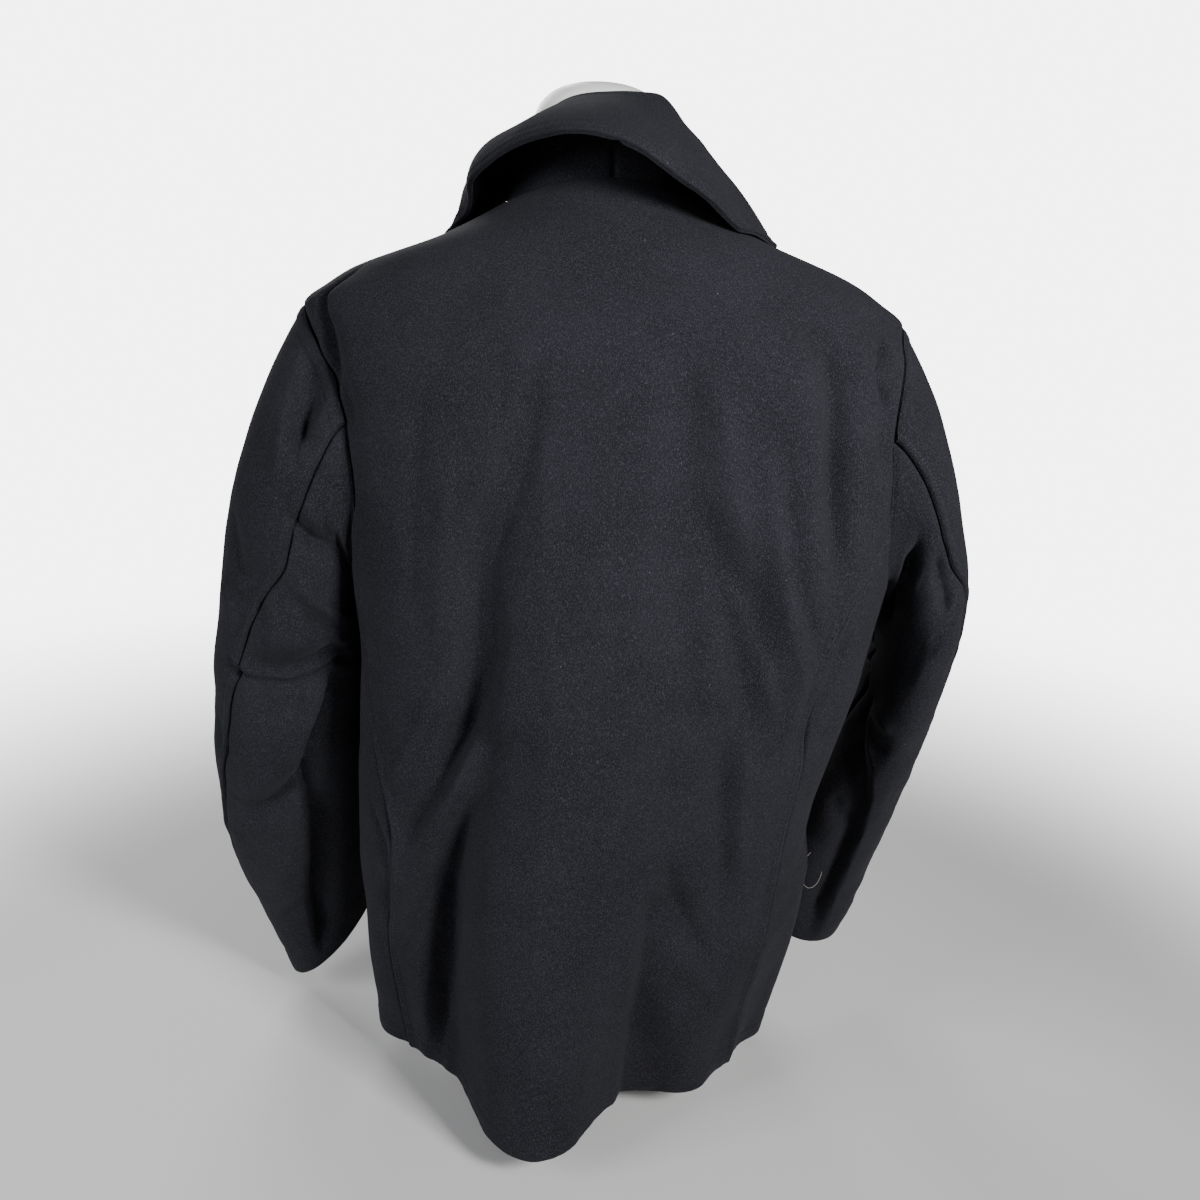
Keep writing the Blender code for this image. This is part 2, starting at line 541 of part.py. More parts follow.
def wall(name, outer, inner, collection, finish="melton", sides=(), distance=SEAM_GAP / 2):
    """Closed wall between two matching grids of points."""
    outer, inner = outer.copy(), inner.copy()
    retreat(outer, inner, sides, distance)
    rows, count = outer.shape[:2]
    bm = bmesh.new()
    out = [[bm.verts.new(point) for point in row] for row in outer]
    inn = [[bm.verts.new(point) for point in row] for row in inner]
    for r in range(rows - 1):
        for c in range(count - 1):
            bm.faces.new((out[r][c], out[r][c + 1], out[r + 1][c + 1], out[r + 1][c]))
            bm.faces.new((inn[r][c], inn[r + 1][c], inn[r + 1][c + 1], inn[r][c + 1]))
    rim = [(0, c) for c in range(count)] + [(r, count - 1) for r in range(1, rows)]
    rim += [(rows - 1, c) for c in range(count - 2, -1, -1)] + [(r, 0) for r in range(rows - 2, 0, -1)]
    for (r0, c0), (r1, c1) in zip(rim, rim[1:] + rim[:1]):
        bm.faces.new((out[r0][c0], inn[r0][c0], inn[r1][c1], out[r1][c1]))
    return add_object(name, bm, collection, finish)


# ---------------------------------------------------------------- body panels
def panel_levels():
    """Body levels shared by the panels, closest where the armhole turns."""
    low = np.linspace(0.0, JOIN_LEVEL, 15)[:-1]
    turns = np.arange(JOIN_TURN, -1, -TURN_STEP)
    hole = np.array([float(armhole(1, turn)[1]) for turn in turns])
    shoulder = np.array([0.669, 0.680, 0.691, 0.702, 0.712, 0.728, NECK_LEVEL])
    return np.concatenate((low, hole, shoulder))


LEVELS = panel_levels()
LOW_ROWS = int(np.searchsorted(LEVELS, JOIN_LEVEL - 1e-6))
TIP_ROW = int(np.searchsorted(LEVELS, ARMHOLE_TOP - 1e-6))


def set_armhole(outer, inner, side, column, front):
    """Sets the points of a panel column where it runs up the armhole."""
    for row in range(LOW_ROWS, TIP_ROW + 1):
        turn = round(float(armhole_turn(LEVELS[row])) / TURN_STEP) * TURN_STEP
        turn = (360 - turn) % 360 if front else turn
        point, inside, across = armhole_seam(side, turn)
        outer[row, column] = point + across * SEAM_GAP / 2
        inner[row, column] = inside + across * SEAM_GAP / 2


def make_back(collection):
    """Back in one piece, from side seam to side seam and up to both shoulder seams."""
    share = np.linspace(-1.0, 1.0, BACK_COLUMNS)
    level = LEVELS[:, None]
    left = panel_edge(1, LEVELS, False)[:, None]
    right = panel_edge(-1, LEVELS, False)[:, None]
    angle = np.where(share > 0, share * left, share * right)
    level = np.broadcast_to(level, angle.shape)
    outer = body_point(angle, level)
    inner = outer - body_normal(angle, level) * CLOTH
    set_armhole(outer, inner, 1, -1, False)
    set_armhole(outer, inner, -1, 0, False)
    wall("back", outer, inner, collection, sides=("left", "right"))


def make_side(collection, side, name):
    """Side panel under the arm, between the back and a front."""
    turns = np.arange(JOIN_TURN, 360 - JOIN_TURN + 1, TURN_STEP).astype(float)
    top_angle, top_level = armhole(side, turns)
    top_angle = np.abs(top_angle)
    share = np.linspace(0.0, 1.0, len(turns))
    rise = (LEVELS[:LOW_ROWS + 1] / JOIN_LEVEL)[:, None]
    level = rise * top_level
    back = side_seam(side, level, False)
    front = side_seam(side, level, True)
    top_back = side_seam(side, top_level, False)
    top_front = side_seam(side, top_level, True)
    top_share = (top_angle - top_back) / (top_front - top_back)
    angle = back + (front - back) * (share + (top_share - share) * rise ** 2)
    outer = body_point(side * angle, level)
    inner = outer - body_normal(side * angle, level) * CLOTH
    point, inside, across = armhole_seam(side, turns)
    outer[-1] = point + across * SEAM_GAP / 2
    inner[-1] = inside + across * SEAM_GAP / 2
    wall(name, outer, inner, collection, sides=("left", "right"))


def make_front(collection, side, name):
    """Front from the side seam to the lap and the roll, up to the shoulder seam and neck."""
    share = 1.0 - (1.0 - np.linspace(0.0, 1.0, FRONT_COLUMNS)[None, :]) ** FRONT_CROWDING
    level = np.broadcast_to(LEVELS[:, None], (len(LEVELS), FRONT_COLUMNS))
    outside = panel_edge(side, level, True)
    angle = outside + (front_edge(level) - outside) * share
    outer = front_point(side, angle, level)
    inner = outer - body_normal(side * angle, level) * CLOTH
    set_armhole(outer, inner, side, 0, True)
    wall(name, outer, inner, collection, sides=("left",))


def make_lapel(collection, side, name):
    """Lapel turned back over its front, wrapping the roll and ending in the gorge."""
    rows = np.linspace(0.0, 1.0, LAPEL_ROWS)
    row = columns(LEFT_LAPEL if side > 0 else RIGHT_LAPEL, rows)
    bend = CLOTH / 2 + SKIN_LIFT
    places = [(0.0, turn) for turn in LAPEL_WRAP]
    places += [(across, 0.0) for across in np.linspace(0.0, 1.0, 9)[1:]]
    outer, inner = [], []
    for across, turn in places:
        level = row.roll_level + (row.edge_level - row.roll_level) * across
        x = roll_x(row.roll_level) + (row.edge_x - roll_x(row.roll_level)) * across
        angle = 180.0 - angle_at(x, level)
        point = front_point(side, angle, level, -CLOTH / 2)
        normal = body_normal(side * angle, level)
        beside = unit(front_point(side, angle + 1.0, level, -CLOTH / 2) - point)
        direction = normal * math.cos(math.radians(turn)) + beside * math.sin(math.radians(turn))
        outer.append(point + direction * (bend + LAPEL_CLOTH))
        inner.append(point + direction * bend)
    wall(name, np.stack(outer, axis=1), np.stack(inner, axis=1), collection)


# ---------------------------------------------------------------- sleeves
def make_sleeve(collection, side, name, first, last, piece):
    """One of a sleeve's two pieces, between two places on the armhole."""
    turns = np.arange(first, last + 1, TURN_STEP).astype(float)
    at = np.linspace(0.0, len(sleeve_table(side)) - 1.0, SLEEVE_RINGS)[:, None]
    turn, at = np.broadcast_arrays(turns[None, :], at)
    outer = sleeve_point(side, turn, at)
    inner = outer - sleeve_normal(side, turn, at) * CLOTH
    point, inside, across = armhole_seam(side, turns)
    outer[0] = point - across * SEAM_GAP / 2
    inner[0] = inside - across * SEAM_GAP / 2
    wall(f"{name}_{piece}", outer, inner, collection, sides=("left", "right"))


# ---------------------------------------------------------------- collar
def rest_on_body(points):
    """Lifts what would sink into the shoulders until it lies on them."""
    angle, level = np.meshgrid(np.linspace(-140.0, 140.0, 141), np.linspace(0.66, NECK_LEVEL, 30))
    ground = body_point(angle, level).reshape(-1, 3)
    normals = body_normal(angle, level).reshape(-1, 3)
    flat = points.reshape(-1, 3)
    nearest = np.argmin(np.sum((flat[:, None] - ground[None]) ** 2, axis=-1), axis=1)
    height = np.sum((flat - ground[nearest]) * normals[nearest], axis=-1)
    lift = np.maximum(COLLAR_CLOTH + LEAF_CLEARANCE - height, 0.0)
    return (flat + normals[nearest] * lift[:, None]).reshape(points.shape)


def collar_section(angle, steps):
    """Middle of the collar cloth from the neck seam over the roll to the edge."""
    row = columns(COLLAR, angle)
    seam = body_point(angle, np.full_like(angle, NECK_LEVEL))
    inward = unit(stack(-seam[..., 0], -seam[..., 1], 0.0))
    seam = seam + inward * (COLLAR_CLOTH + SEAM_GAP / 2) + np.array([0.0, 0.0, COLLAR_LIFT])
    roll = stack(row.roll_x, row.roll_y, row.roll_z)
    edge = stack(row.edge_x, row.edge_y, row.edge_z)
    most = ROLL_SHARE * np.linalg.norm(roll - seam, axis=-1)
    before = roll - unit(roll - seam) * np.minimum(ROLL_LENGTH, most)[..., None]
    after = roll + unit(edge - roll) * ROLL_LENGTH
    leaf_out = unit(np.cross(edge - roll, np.gradient(edge, axis=0)))
    leaf_out = leaf_out * np.sign(np.sum(leaf_out * np.array([0.0, 0.0, 1.0]), axis=-1, keepdims=True))
    points = []
    for step in steps:
        if step <= ROLL_START:
            point = seam + (before - seam) * (step / ROLL_START)
        elif step < ROLL_END:
            s = (step - ROLL_START) / (ROLL_END - ROLL_START)
            point = (1 - s) ** 2 * before + 2 * s * (1 - s) * roll + s * s * after
        else:
            s = (step - ROLL_END) / (1.0 - ROLL_END)
            bulge = leaf_out * (row.bow * 4 * s * (1 - s))[..., None]
            point = rest_on_body(after + (edge - after) * s + bulge)
        points.append(point)
    return np.stack(points, axis=0)


def collar_layers(angle):
    """Faces of both collar layers, each as its outer and inner grid of points."""
    middle = collar_section(angle, COLLAR_STEPS)
    around = np.gradient(middle, axis=1)
    outward = np.gradient(middle, axis=0)
    top = unit(np.cross(around, outward))
    half = SEAM_GAP / 2
    upper = (middle + top * (half + COLLAR_CLOTH), middle + top * half)
    under = (middle - top * half, middle - top * (half + COLLAR_CLOTH))
    return upper, under


def make_collar(collection):
    """Upper collar in one piece over an under collar in two, joined at the middle of the back."""
    angle = np.linspace(-NECK_END, NECK_END, COLLAR_STATIONS)
    upper, under = collar_layers(angle)
    wall("collar_upper", *upper, collection)
    middle = COLLAR_STATIONS // 2
    right = [face[:, :middle + 1] for face in under]
    left = [face[:, middle:] for face in under]
    wall("collar_under_right", *right, collection, sides=("right",))
    wall("collar_under_left", *left, collection, sides=("left",))


# ---------------------------------------------------------------- trim
def make_buttons(collection):
    """Turned buttons with a raised rim, in two columns on the over front."""
    lift = TRIM_LIFT + BUTTON_THICK / 2
    places = [(x, height) for height in BUTTON_HEIGHTS for x in (-BUTTON_SPREAD, BUTTON_SPREAD)]
    for number, (x, height) in enumerate(places, start=1):
        level = np.array(height)
        angle = 180.0 - angle_at(np.array(x), level)
        centre = front_point(1, angle, level, lift)
        normal = body_normal(angle, level)
        bm = bmesh.new()
        bmesh.ops.create_cone(bm, cap_ends=True, segments=BUTTON_SIDES, radius1=BUTTON_RADIUS,
                              radius2=BUTTON_RADIUS, depth=BUTTON_THICK)
        top = [face for face in bm.faces if face.normal.z > 0.9]
        bmesh.ops.inset_region(bm, faces=top, thickness=BUTTON_RADIUS * BUTTON_RIM)
        bmesh.ops.inset_region(bm, faces=top, thickness=BUTTON_RADIUS * BUTTON_BEVEL,
                               depth=-BUTTON_THICK * BUTTON_WELL)
        tilt = Vector(normal).to_track_quat("Z", "Y").to_matrix().to_4x4()
        bmesh.ops.transform(bm, matrix=Matrix.Translation(centre) @ tilt, verts=bm.verts)
        add_object(f"button_{number}", bm, collection, "button_plastic")


def make_welt(collection, side, name):
    """Slanting pocket welt lying on a front."""
    along = np.linspace(0.0, 1.0, 7)[:, None]
    across = np.linspace(0.0, 1.0, 4)[None, :]
    level = WELT_LEVEL + WELT_LENGTH * along + 0.0 * across
    angle = WELT_START - WELT_LEAN * along + WELT_TURN * across
    outer = front_point(side, angle, level, TRIM_LIFT + WELT_THICK)
    inner = front_point(side, angle, level, TRIM_LIFT)
    wall(name, outer, inner, collection)


# ---------------------------------------------------------------- torso form
def form_ring(row, turns):
    """One ring of the form."""
    across, along = np.sin(turns), np.cos(turns)
    depth = np.where(along > 0, row.back_depth, row.front_depth)
    top = np.where(along > 0, row.back_z, row.front_z)
    return stack(row.centre_x + row.half_width * across, row.centre_y + depth * along,
                 row.side_z + (top - row.side_z) * along ** 2)


def make_form(collection):
    """Smooth torso and neck of one solid, just under the coat where the coat rests on it."""
    turns = np.linspace(0.0, 2 * math.pi, FORM_SIDES, endpoint=False)
    rings = [form_ring(row, turns) for row in FORM_BODY]
    for level in FORM_YOKE_LEVELS:
        angle = np.degrees(turns)
        levels = np.full_like(angle, level)
        front = np.minimum(angle, 360.0 - angle)
        drop = CLOTH + FORM_GAP + FORM_FRONT_DROP * smooth((front - FORM_DROP_START) / FORM_DROP_SLOPE)
        rings.append(body_point(angle, levels) - body_normal(angle, levels) * drop[:, None])
    rings += [form_ring(row, turns) for row in FORM_NECK]
    bm = bmesh.new()
    loops = [[bm.verts.new(point) for point in ring] for ring in rings]
    for low, high in zip(loops, loops[1:]):
        for k in range(FORM_SIDES):
            m = (k + 1) % FORM_SIDES
            bm.faces.new((low[k], low[m], high[m], high[k]))
    bm.faces.new(loops[0])
    last = FORM_NECK[-1]
    tip = bm.verts.new((last.centre_x, last.centre_y, FORM_TOP_Z))
    for k in range(FORM_SIDES):
        bm.faces.new((loops[-1][k], loops[-1][(k + 1) % FORM_SIDES], tip))
    add_object("torso_form", bm, collection, "form_shell")


def main():
    for thing in list(bpy.data.objects):
        bpy.data.objects.remove(thing, do_unlink=True)
    collection = bpy.data.collections.new("pea_coat")
    bpy.context.scene.collection.children.link(collection)
    make_form(collection)
    make_back(collection)
    for side, name in ((1, "left"), (-1, "right")):
        make_side(collection, side, f"side_{name}")
        make_front(collection, side, f"front_{name}")
        make_lapel(collection, side, f"lapel_{name}")
        make_sleeve(collection, side, f"sleeve_{name}", HIND_SEAM, FORE_SEAM, "under")
        make_sleeve(collection, side, f"sleeve_{name}", FORE_SEAM, HIND_SEAM + 360, "top")
        make_welt(collection, side, f"welt_{name}")
    make_collar(collection)
    make_buttons(collection)


main()
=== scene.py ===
"""Double-breasted pea coat of felted wool, worn closed on a white torso form.

The coat's cloth pieces are thin shells with the same cut, seams and main folds as the solids
that they stand for, in finer grids, with the smaller creases, turned edges, seam ridges and
stitching that the cloth has. The buttons are turned and drilled, and tied on with crossed
threads. The form's shell is a smoother copy of its own solid.
"""

import itertools
import logging
import math
from dataclasses import dataclass, field
from enum import Enum
from typing import NamedTuple, Optional, Sequence

import bpy
import numpy as np
from mathutils import Matrix, Vector
from mathutils.kdtree import KDTree


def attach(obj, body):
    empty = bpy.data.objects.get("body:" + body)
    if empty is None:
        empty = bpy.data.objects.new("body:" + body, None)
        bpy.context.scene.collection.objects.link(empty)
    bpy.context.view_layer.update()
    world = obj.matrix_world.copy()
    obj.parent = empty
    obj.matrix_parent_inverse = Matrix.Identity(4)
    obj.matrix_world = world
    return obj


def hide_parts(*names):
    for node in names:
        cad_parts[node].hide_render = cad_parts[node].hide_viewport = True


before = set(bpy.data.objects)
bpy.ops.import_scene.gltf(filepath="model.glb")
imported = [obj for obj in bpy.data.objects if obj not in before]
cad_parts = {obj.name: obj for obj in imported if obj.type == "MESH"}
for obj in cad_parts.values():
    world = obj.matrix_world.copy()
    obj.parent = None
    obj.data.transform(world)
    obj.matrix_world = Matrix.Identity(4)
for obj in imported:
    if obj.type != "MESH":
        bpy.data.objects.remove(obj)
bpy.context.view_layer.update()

LOG = logging.getLogger("pea_coat")
Array = np.ndarray
Place = Colour = tuple[float, float, float]
Thing = bpy.types.Object
Material = bpy.types.Material
Socket = bpy.types.NodeSocket

# --- sizes in metres, turns in degrees
HEM_CLEARANCE = 0.030  # from the form's base up to the hem; heights below start at the hem
CLOTH = 0.0030  # melton of body and sleeves
COLLAR_CLOTH = 0.0020  # each of the two collar layers
LAPEL_CLOTH = 0.0040  # facing with the turned front under it
CREASE_FADE = 0.25  # share of a crease over which it fades at each end
SHARP_FADE = 0.12  # the same for a one-sided crease
SHARP_EDGE = 0.38  # share of a one-sided crease's width in which it drops
COLLAR_LIFT = -0.0014  # from the neck edge up to the collar's middle
LEAF_CLEARANCE = 0.0014  # from the collar's leaf to the shoulders
LEAF_LIES = 93.0  # round the neck, past which the leaf settles on the shoulder
LEAF_SETTLES = 14.0  # turn in which it does
SEAM_GAP = 0.0003
SIDE_SEAM_GAP = 0.0006
LAP_DEPTH = 0.0056  # how far the under front steps in below the over front
LAP_MARGIN = 16.0  # where the step starts, before the over front's edge
LAP_SLOPE = 12.0  # turn that it takes
SKIN_LIFT = 0.0016  # from a panel to what lies on it
OVERLAP = 0.075  # each front edge past the middle
BREAK_LEVEL = 0.455  # where the fronts start to turn back
LAPEL_WRAP = (110.0, 95.0, 80.0, 65.0, 50.0, 36.0, 22.0, 10.0, 0.0)  # turns of the cloth round the roll
NECK_LEVEL = 0.743
NECK_END = 118.0  # where the collar ends, round the neck from the back
ARMHOLE_TOP = 0.660
ARMHOLE_BOTTOM = 0.445
ARMHOLE_BACK_LEFT = (27.0, 1.15)  # how far the armhole reaches round the body, and how that grows
ARMHOLE_BACK_RIGHT = (30.0, 0.75)
ARMHOLE_FRONT = (27.0, 0.85)
ARMHOLE_BLEND = 2.2  # sections in which a sleeve leaves the armhole for its own form
MITRE_LIMIT = 0.6  # steepest mitre
MITRE_REACH = 0.020  # how far from the armhole the cloth's inside bends towards its mitre
JOIN_TURN = 120.0  # where the side panel's seams meet the armhole, round it
HIND_SEAM = 80.0  # sleeve seams, round the armhole from the shoulder
FORE_SEAM = 220.0
BODY_TURN = 0.0030  # cloth for each degree round the body
SLEEVE_TURN = 0.0013  # cloth for each degree round a sleeve
SLEEVE_ROW = 0.095  # cloth from one sleeve section to the next
FLARE_GROWTH = 1.35  # how a flare grows towards the hem
FLARE_FLATNESS = 2.6  # how flat its crest is
BUTTON_RADIUS = 0.0145
BUTTON_THICK = 0.0040
BUTTON_SPREAD = 0.052  # from the middle to each column of buttons
BUTTON_HEIGHTS = (0.200, 0.310, 0.420)
WELT_LEVEL = 0.150  # low end of a welt
WELT_LENGTH = 0.150
WELT_TURN = 8.1  # width of a welt, round the body
WELT_START = 137.0  # outer side of its low end
WELT_LEAN = 7.0  # how far its high end turns back towards the side seam
WELT_THICK = 0.0026
TRIM_LIFT = 0.0005  # from a front to the buttons and welts on it
ROLL_LENGTH = 0.015  # cloth on each side of the collar's roll that bends
ROLL_SHARE = 0.6  # most of the stand that may bend
ROLL_START = 0.36  # shares of the collar's way at which the roll starts and ends
ROLL_END = 0.56
CELL = 0.0025  # side of the grid's cells on the cloth
EDGE_STEPS = (0.0007, 0.0016, 0.0028, 0.0042)  # grid lines beside a finished edge
LINE_STEP = 0.0008  # between the points by which distances from an edge are measured
DRAPE_ENDS = 0.640  # level above which the body's cloth lies smooth
DRAPE_FADE = 0.045
STITCH_SINK = 0.0012  # depth of the groove under a row of stitches
STITCH_PULL = 0.0014  # its half width
CREST_HEIGHT = 0.0006  # a crest this high is lightened most, as abraded cloth, and a trough this deep is darkened most, as painted shade
LEFT, RIGHT = 1, -1  # sides of the coat, as signs of x
HASH_PRIMES = np.array([73856093, 19349663, 83492791])  # they scatter the cells of the noise
HASH_SPREAD = 1274126177
SEED_SHIFT = 37.7
UP = np.array([0.0, 0.0, 1.0])


class Ring(NamedTuple):
    """One ring of the coat's body: its level along the cloth, heights, half axes and squareness."""

    level: float
    back_z: float
    front_z: float
    half_width: float
    back_depth: float
    front_depth: float
    centre_x: float
    square: float


class Flare(NamedTuple):
    """A flute that opens towards the hem, from its low to its high level."""

    low: float
    high: float
    low_angle: float
    high_angle: float
    width: float
    rise: float


class Crease(NamedTuple):
    """A ridge or trough along a path of angle and level, or angle and section.

    A low power is crisp. One with a side starts sharply at its path and lies on that side alone.
    """

    width: float
    rise: float
    path: tuple[tuple[float, float], ...]
    power: float = 2.0
    side: int = 0


class SeamRow(NamedTuple):
    """Angles of the side panels' seams at one level."""

    level: float
    back_left: float
    back_right: float
    front: float


class Section(NamedTuple):
    """One section of a sleeve: its outer and inner ends, depth, tilt and both seams' angles."""

    outer_x: float
    outer_z: float
    inner_x: float
    inner_z: float
    centre_y: float
    half_depth: float
    tilt: float
    hind: float
    fore: float


class CollarRow(NamedTuple):
    """The collar's roll and edge at one angle round the neck."""

    angle: float
    roll_x: float
    roll_y: float
    roll_z: float
    edge_x: float
    edge_y: float
    edge_z: float
    bow: float


class LapelRow(NamedTuple):
    """The lapel's roll and edge at one place along it."""

    share: float
    roll_level: float
    edge_x: float
    edge_level: float


def rows_of(kind: type, rows: Sequence[tuple]) -> tuple:
    """Named rows of one kind, from plain ones."""
    return tuple(kind(*row) for row in rows)


# --- the coat's form, in metres and degrees
RINGS = rows_of(Ring, (
    (0.000, 0.000, 0.000, 0.183, 0.121, 0.155, 0.005, 1.85),
    (0.110, 0.110, 0.110, 0.199, 0.126, 0.152, 0.000, 2.1),
    (0.260, 0.262, 0.260, 0.208, 0.131, 0.147, -0.004, 2.4),
    (0.400, 0.405, 0.400, 0.221, 0.137, 0.143, -0.021, 2.6),
    (0.500, 0.512, 0.503, 0.230, 0.141, 0.137, -0.020, 2.7),
    (0.580, 0.602, 0.586, 0.236, 0.138, 0.126, -0.014, 2.6),
    (0.630, 0.660, 0.638, 0.241, 0.127, 0.112, -0.008, 2.4),
    (0.660, 0.695, 0.671, 0.241, 0.111, 0.097, -0.001, 2.2),
    (0.677, 0.710, 0.688, 0.221, 0.104, 0.092, 0.000, 2.15),
    (0.691, 0.722, 0.702, 0.198, 0.098, 0.088, 0.000, 2.1),
    (0.712, 0.741, 0.722, 0.141, 0.086, 0.078, 0.001, 2.0),
    (0.743, 0.762, 0.735, 0.080, 0.070, 0.068, 0.002, 2.0),
))
FLARES = rows_of(Flare, (
    (0.00, 0.56, 11.5, 9.0, 16.6, 0.074),
    (0.00, 0.30, -33.0, -36.0, 8.0, 0.005),
    (0.00, 0.30, 60.0, 52.0, 10.0, -0.010),
    (0.00, 0.24, -62.0, -58.0, 9.0, -0.008),
    (0.00, 0.40, 128.0, 124.0, 12.0, 0.014),
    (0.00, 0.40, -132.0, -126.0, 12.0, 0.016),
    (0.00, 0.28, 160.0, 164.0, 9.0, 0.008),
))
# Angle round the body and level. These main folds are in the solids too.
BODY_CREASES = rows_of(Crease, (
    (0.017, -0.01, (
        (20, 0.55), (23.5, 0.47), (25.5, 0.4), (29, 0.35), (35.5, 0.288), (49, 0.218), (60, 0.178))),
    (0.013, 0.007, ((25, 0.345), (33, 0.298), (42, 0.25), (54, 0.2), (63, 0.17))),
    (0.016, -0.007, ((21, 0.34), (22, 0.29), (26, 0.244), (34.5, 0.168), (40, 0.1), (47, 0.0), (50, -0.1))),
    (0.022, 0.008, ((-7, 0.195), (-12, 0.15), (-19, 0.1), (-30, 0.04), (-34, 0.0), (-38, -0.1))),
    (0.016, -0.007, ((-42, 0.65), (-39.5, 0.62), (-35.5, 0.58), (-35, 0.53), (-39, 0.48))),
    (0.018, 0.006, ((-29, 0.64), (-28, 0.56), (-29, 0.46), (-33, 0.36))),
    (0.012, -0.004, ((-18, 0.64), (-18.5, 0.55), (-19, 0.44), (-21, 0.37))),
    (0.014, -0.005, ((-15, 0.385), (-22, 0.306), (-28.5, 0.212), (-32.5, 0.134))),
    (0.014, -0.007, ((-56, 0.65), (-54, 0.6), (-55, 0.54))),
    (0.012, -0.007, ((64, 0.655), (62, 0.61), (58, 0.56))),
))
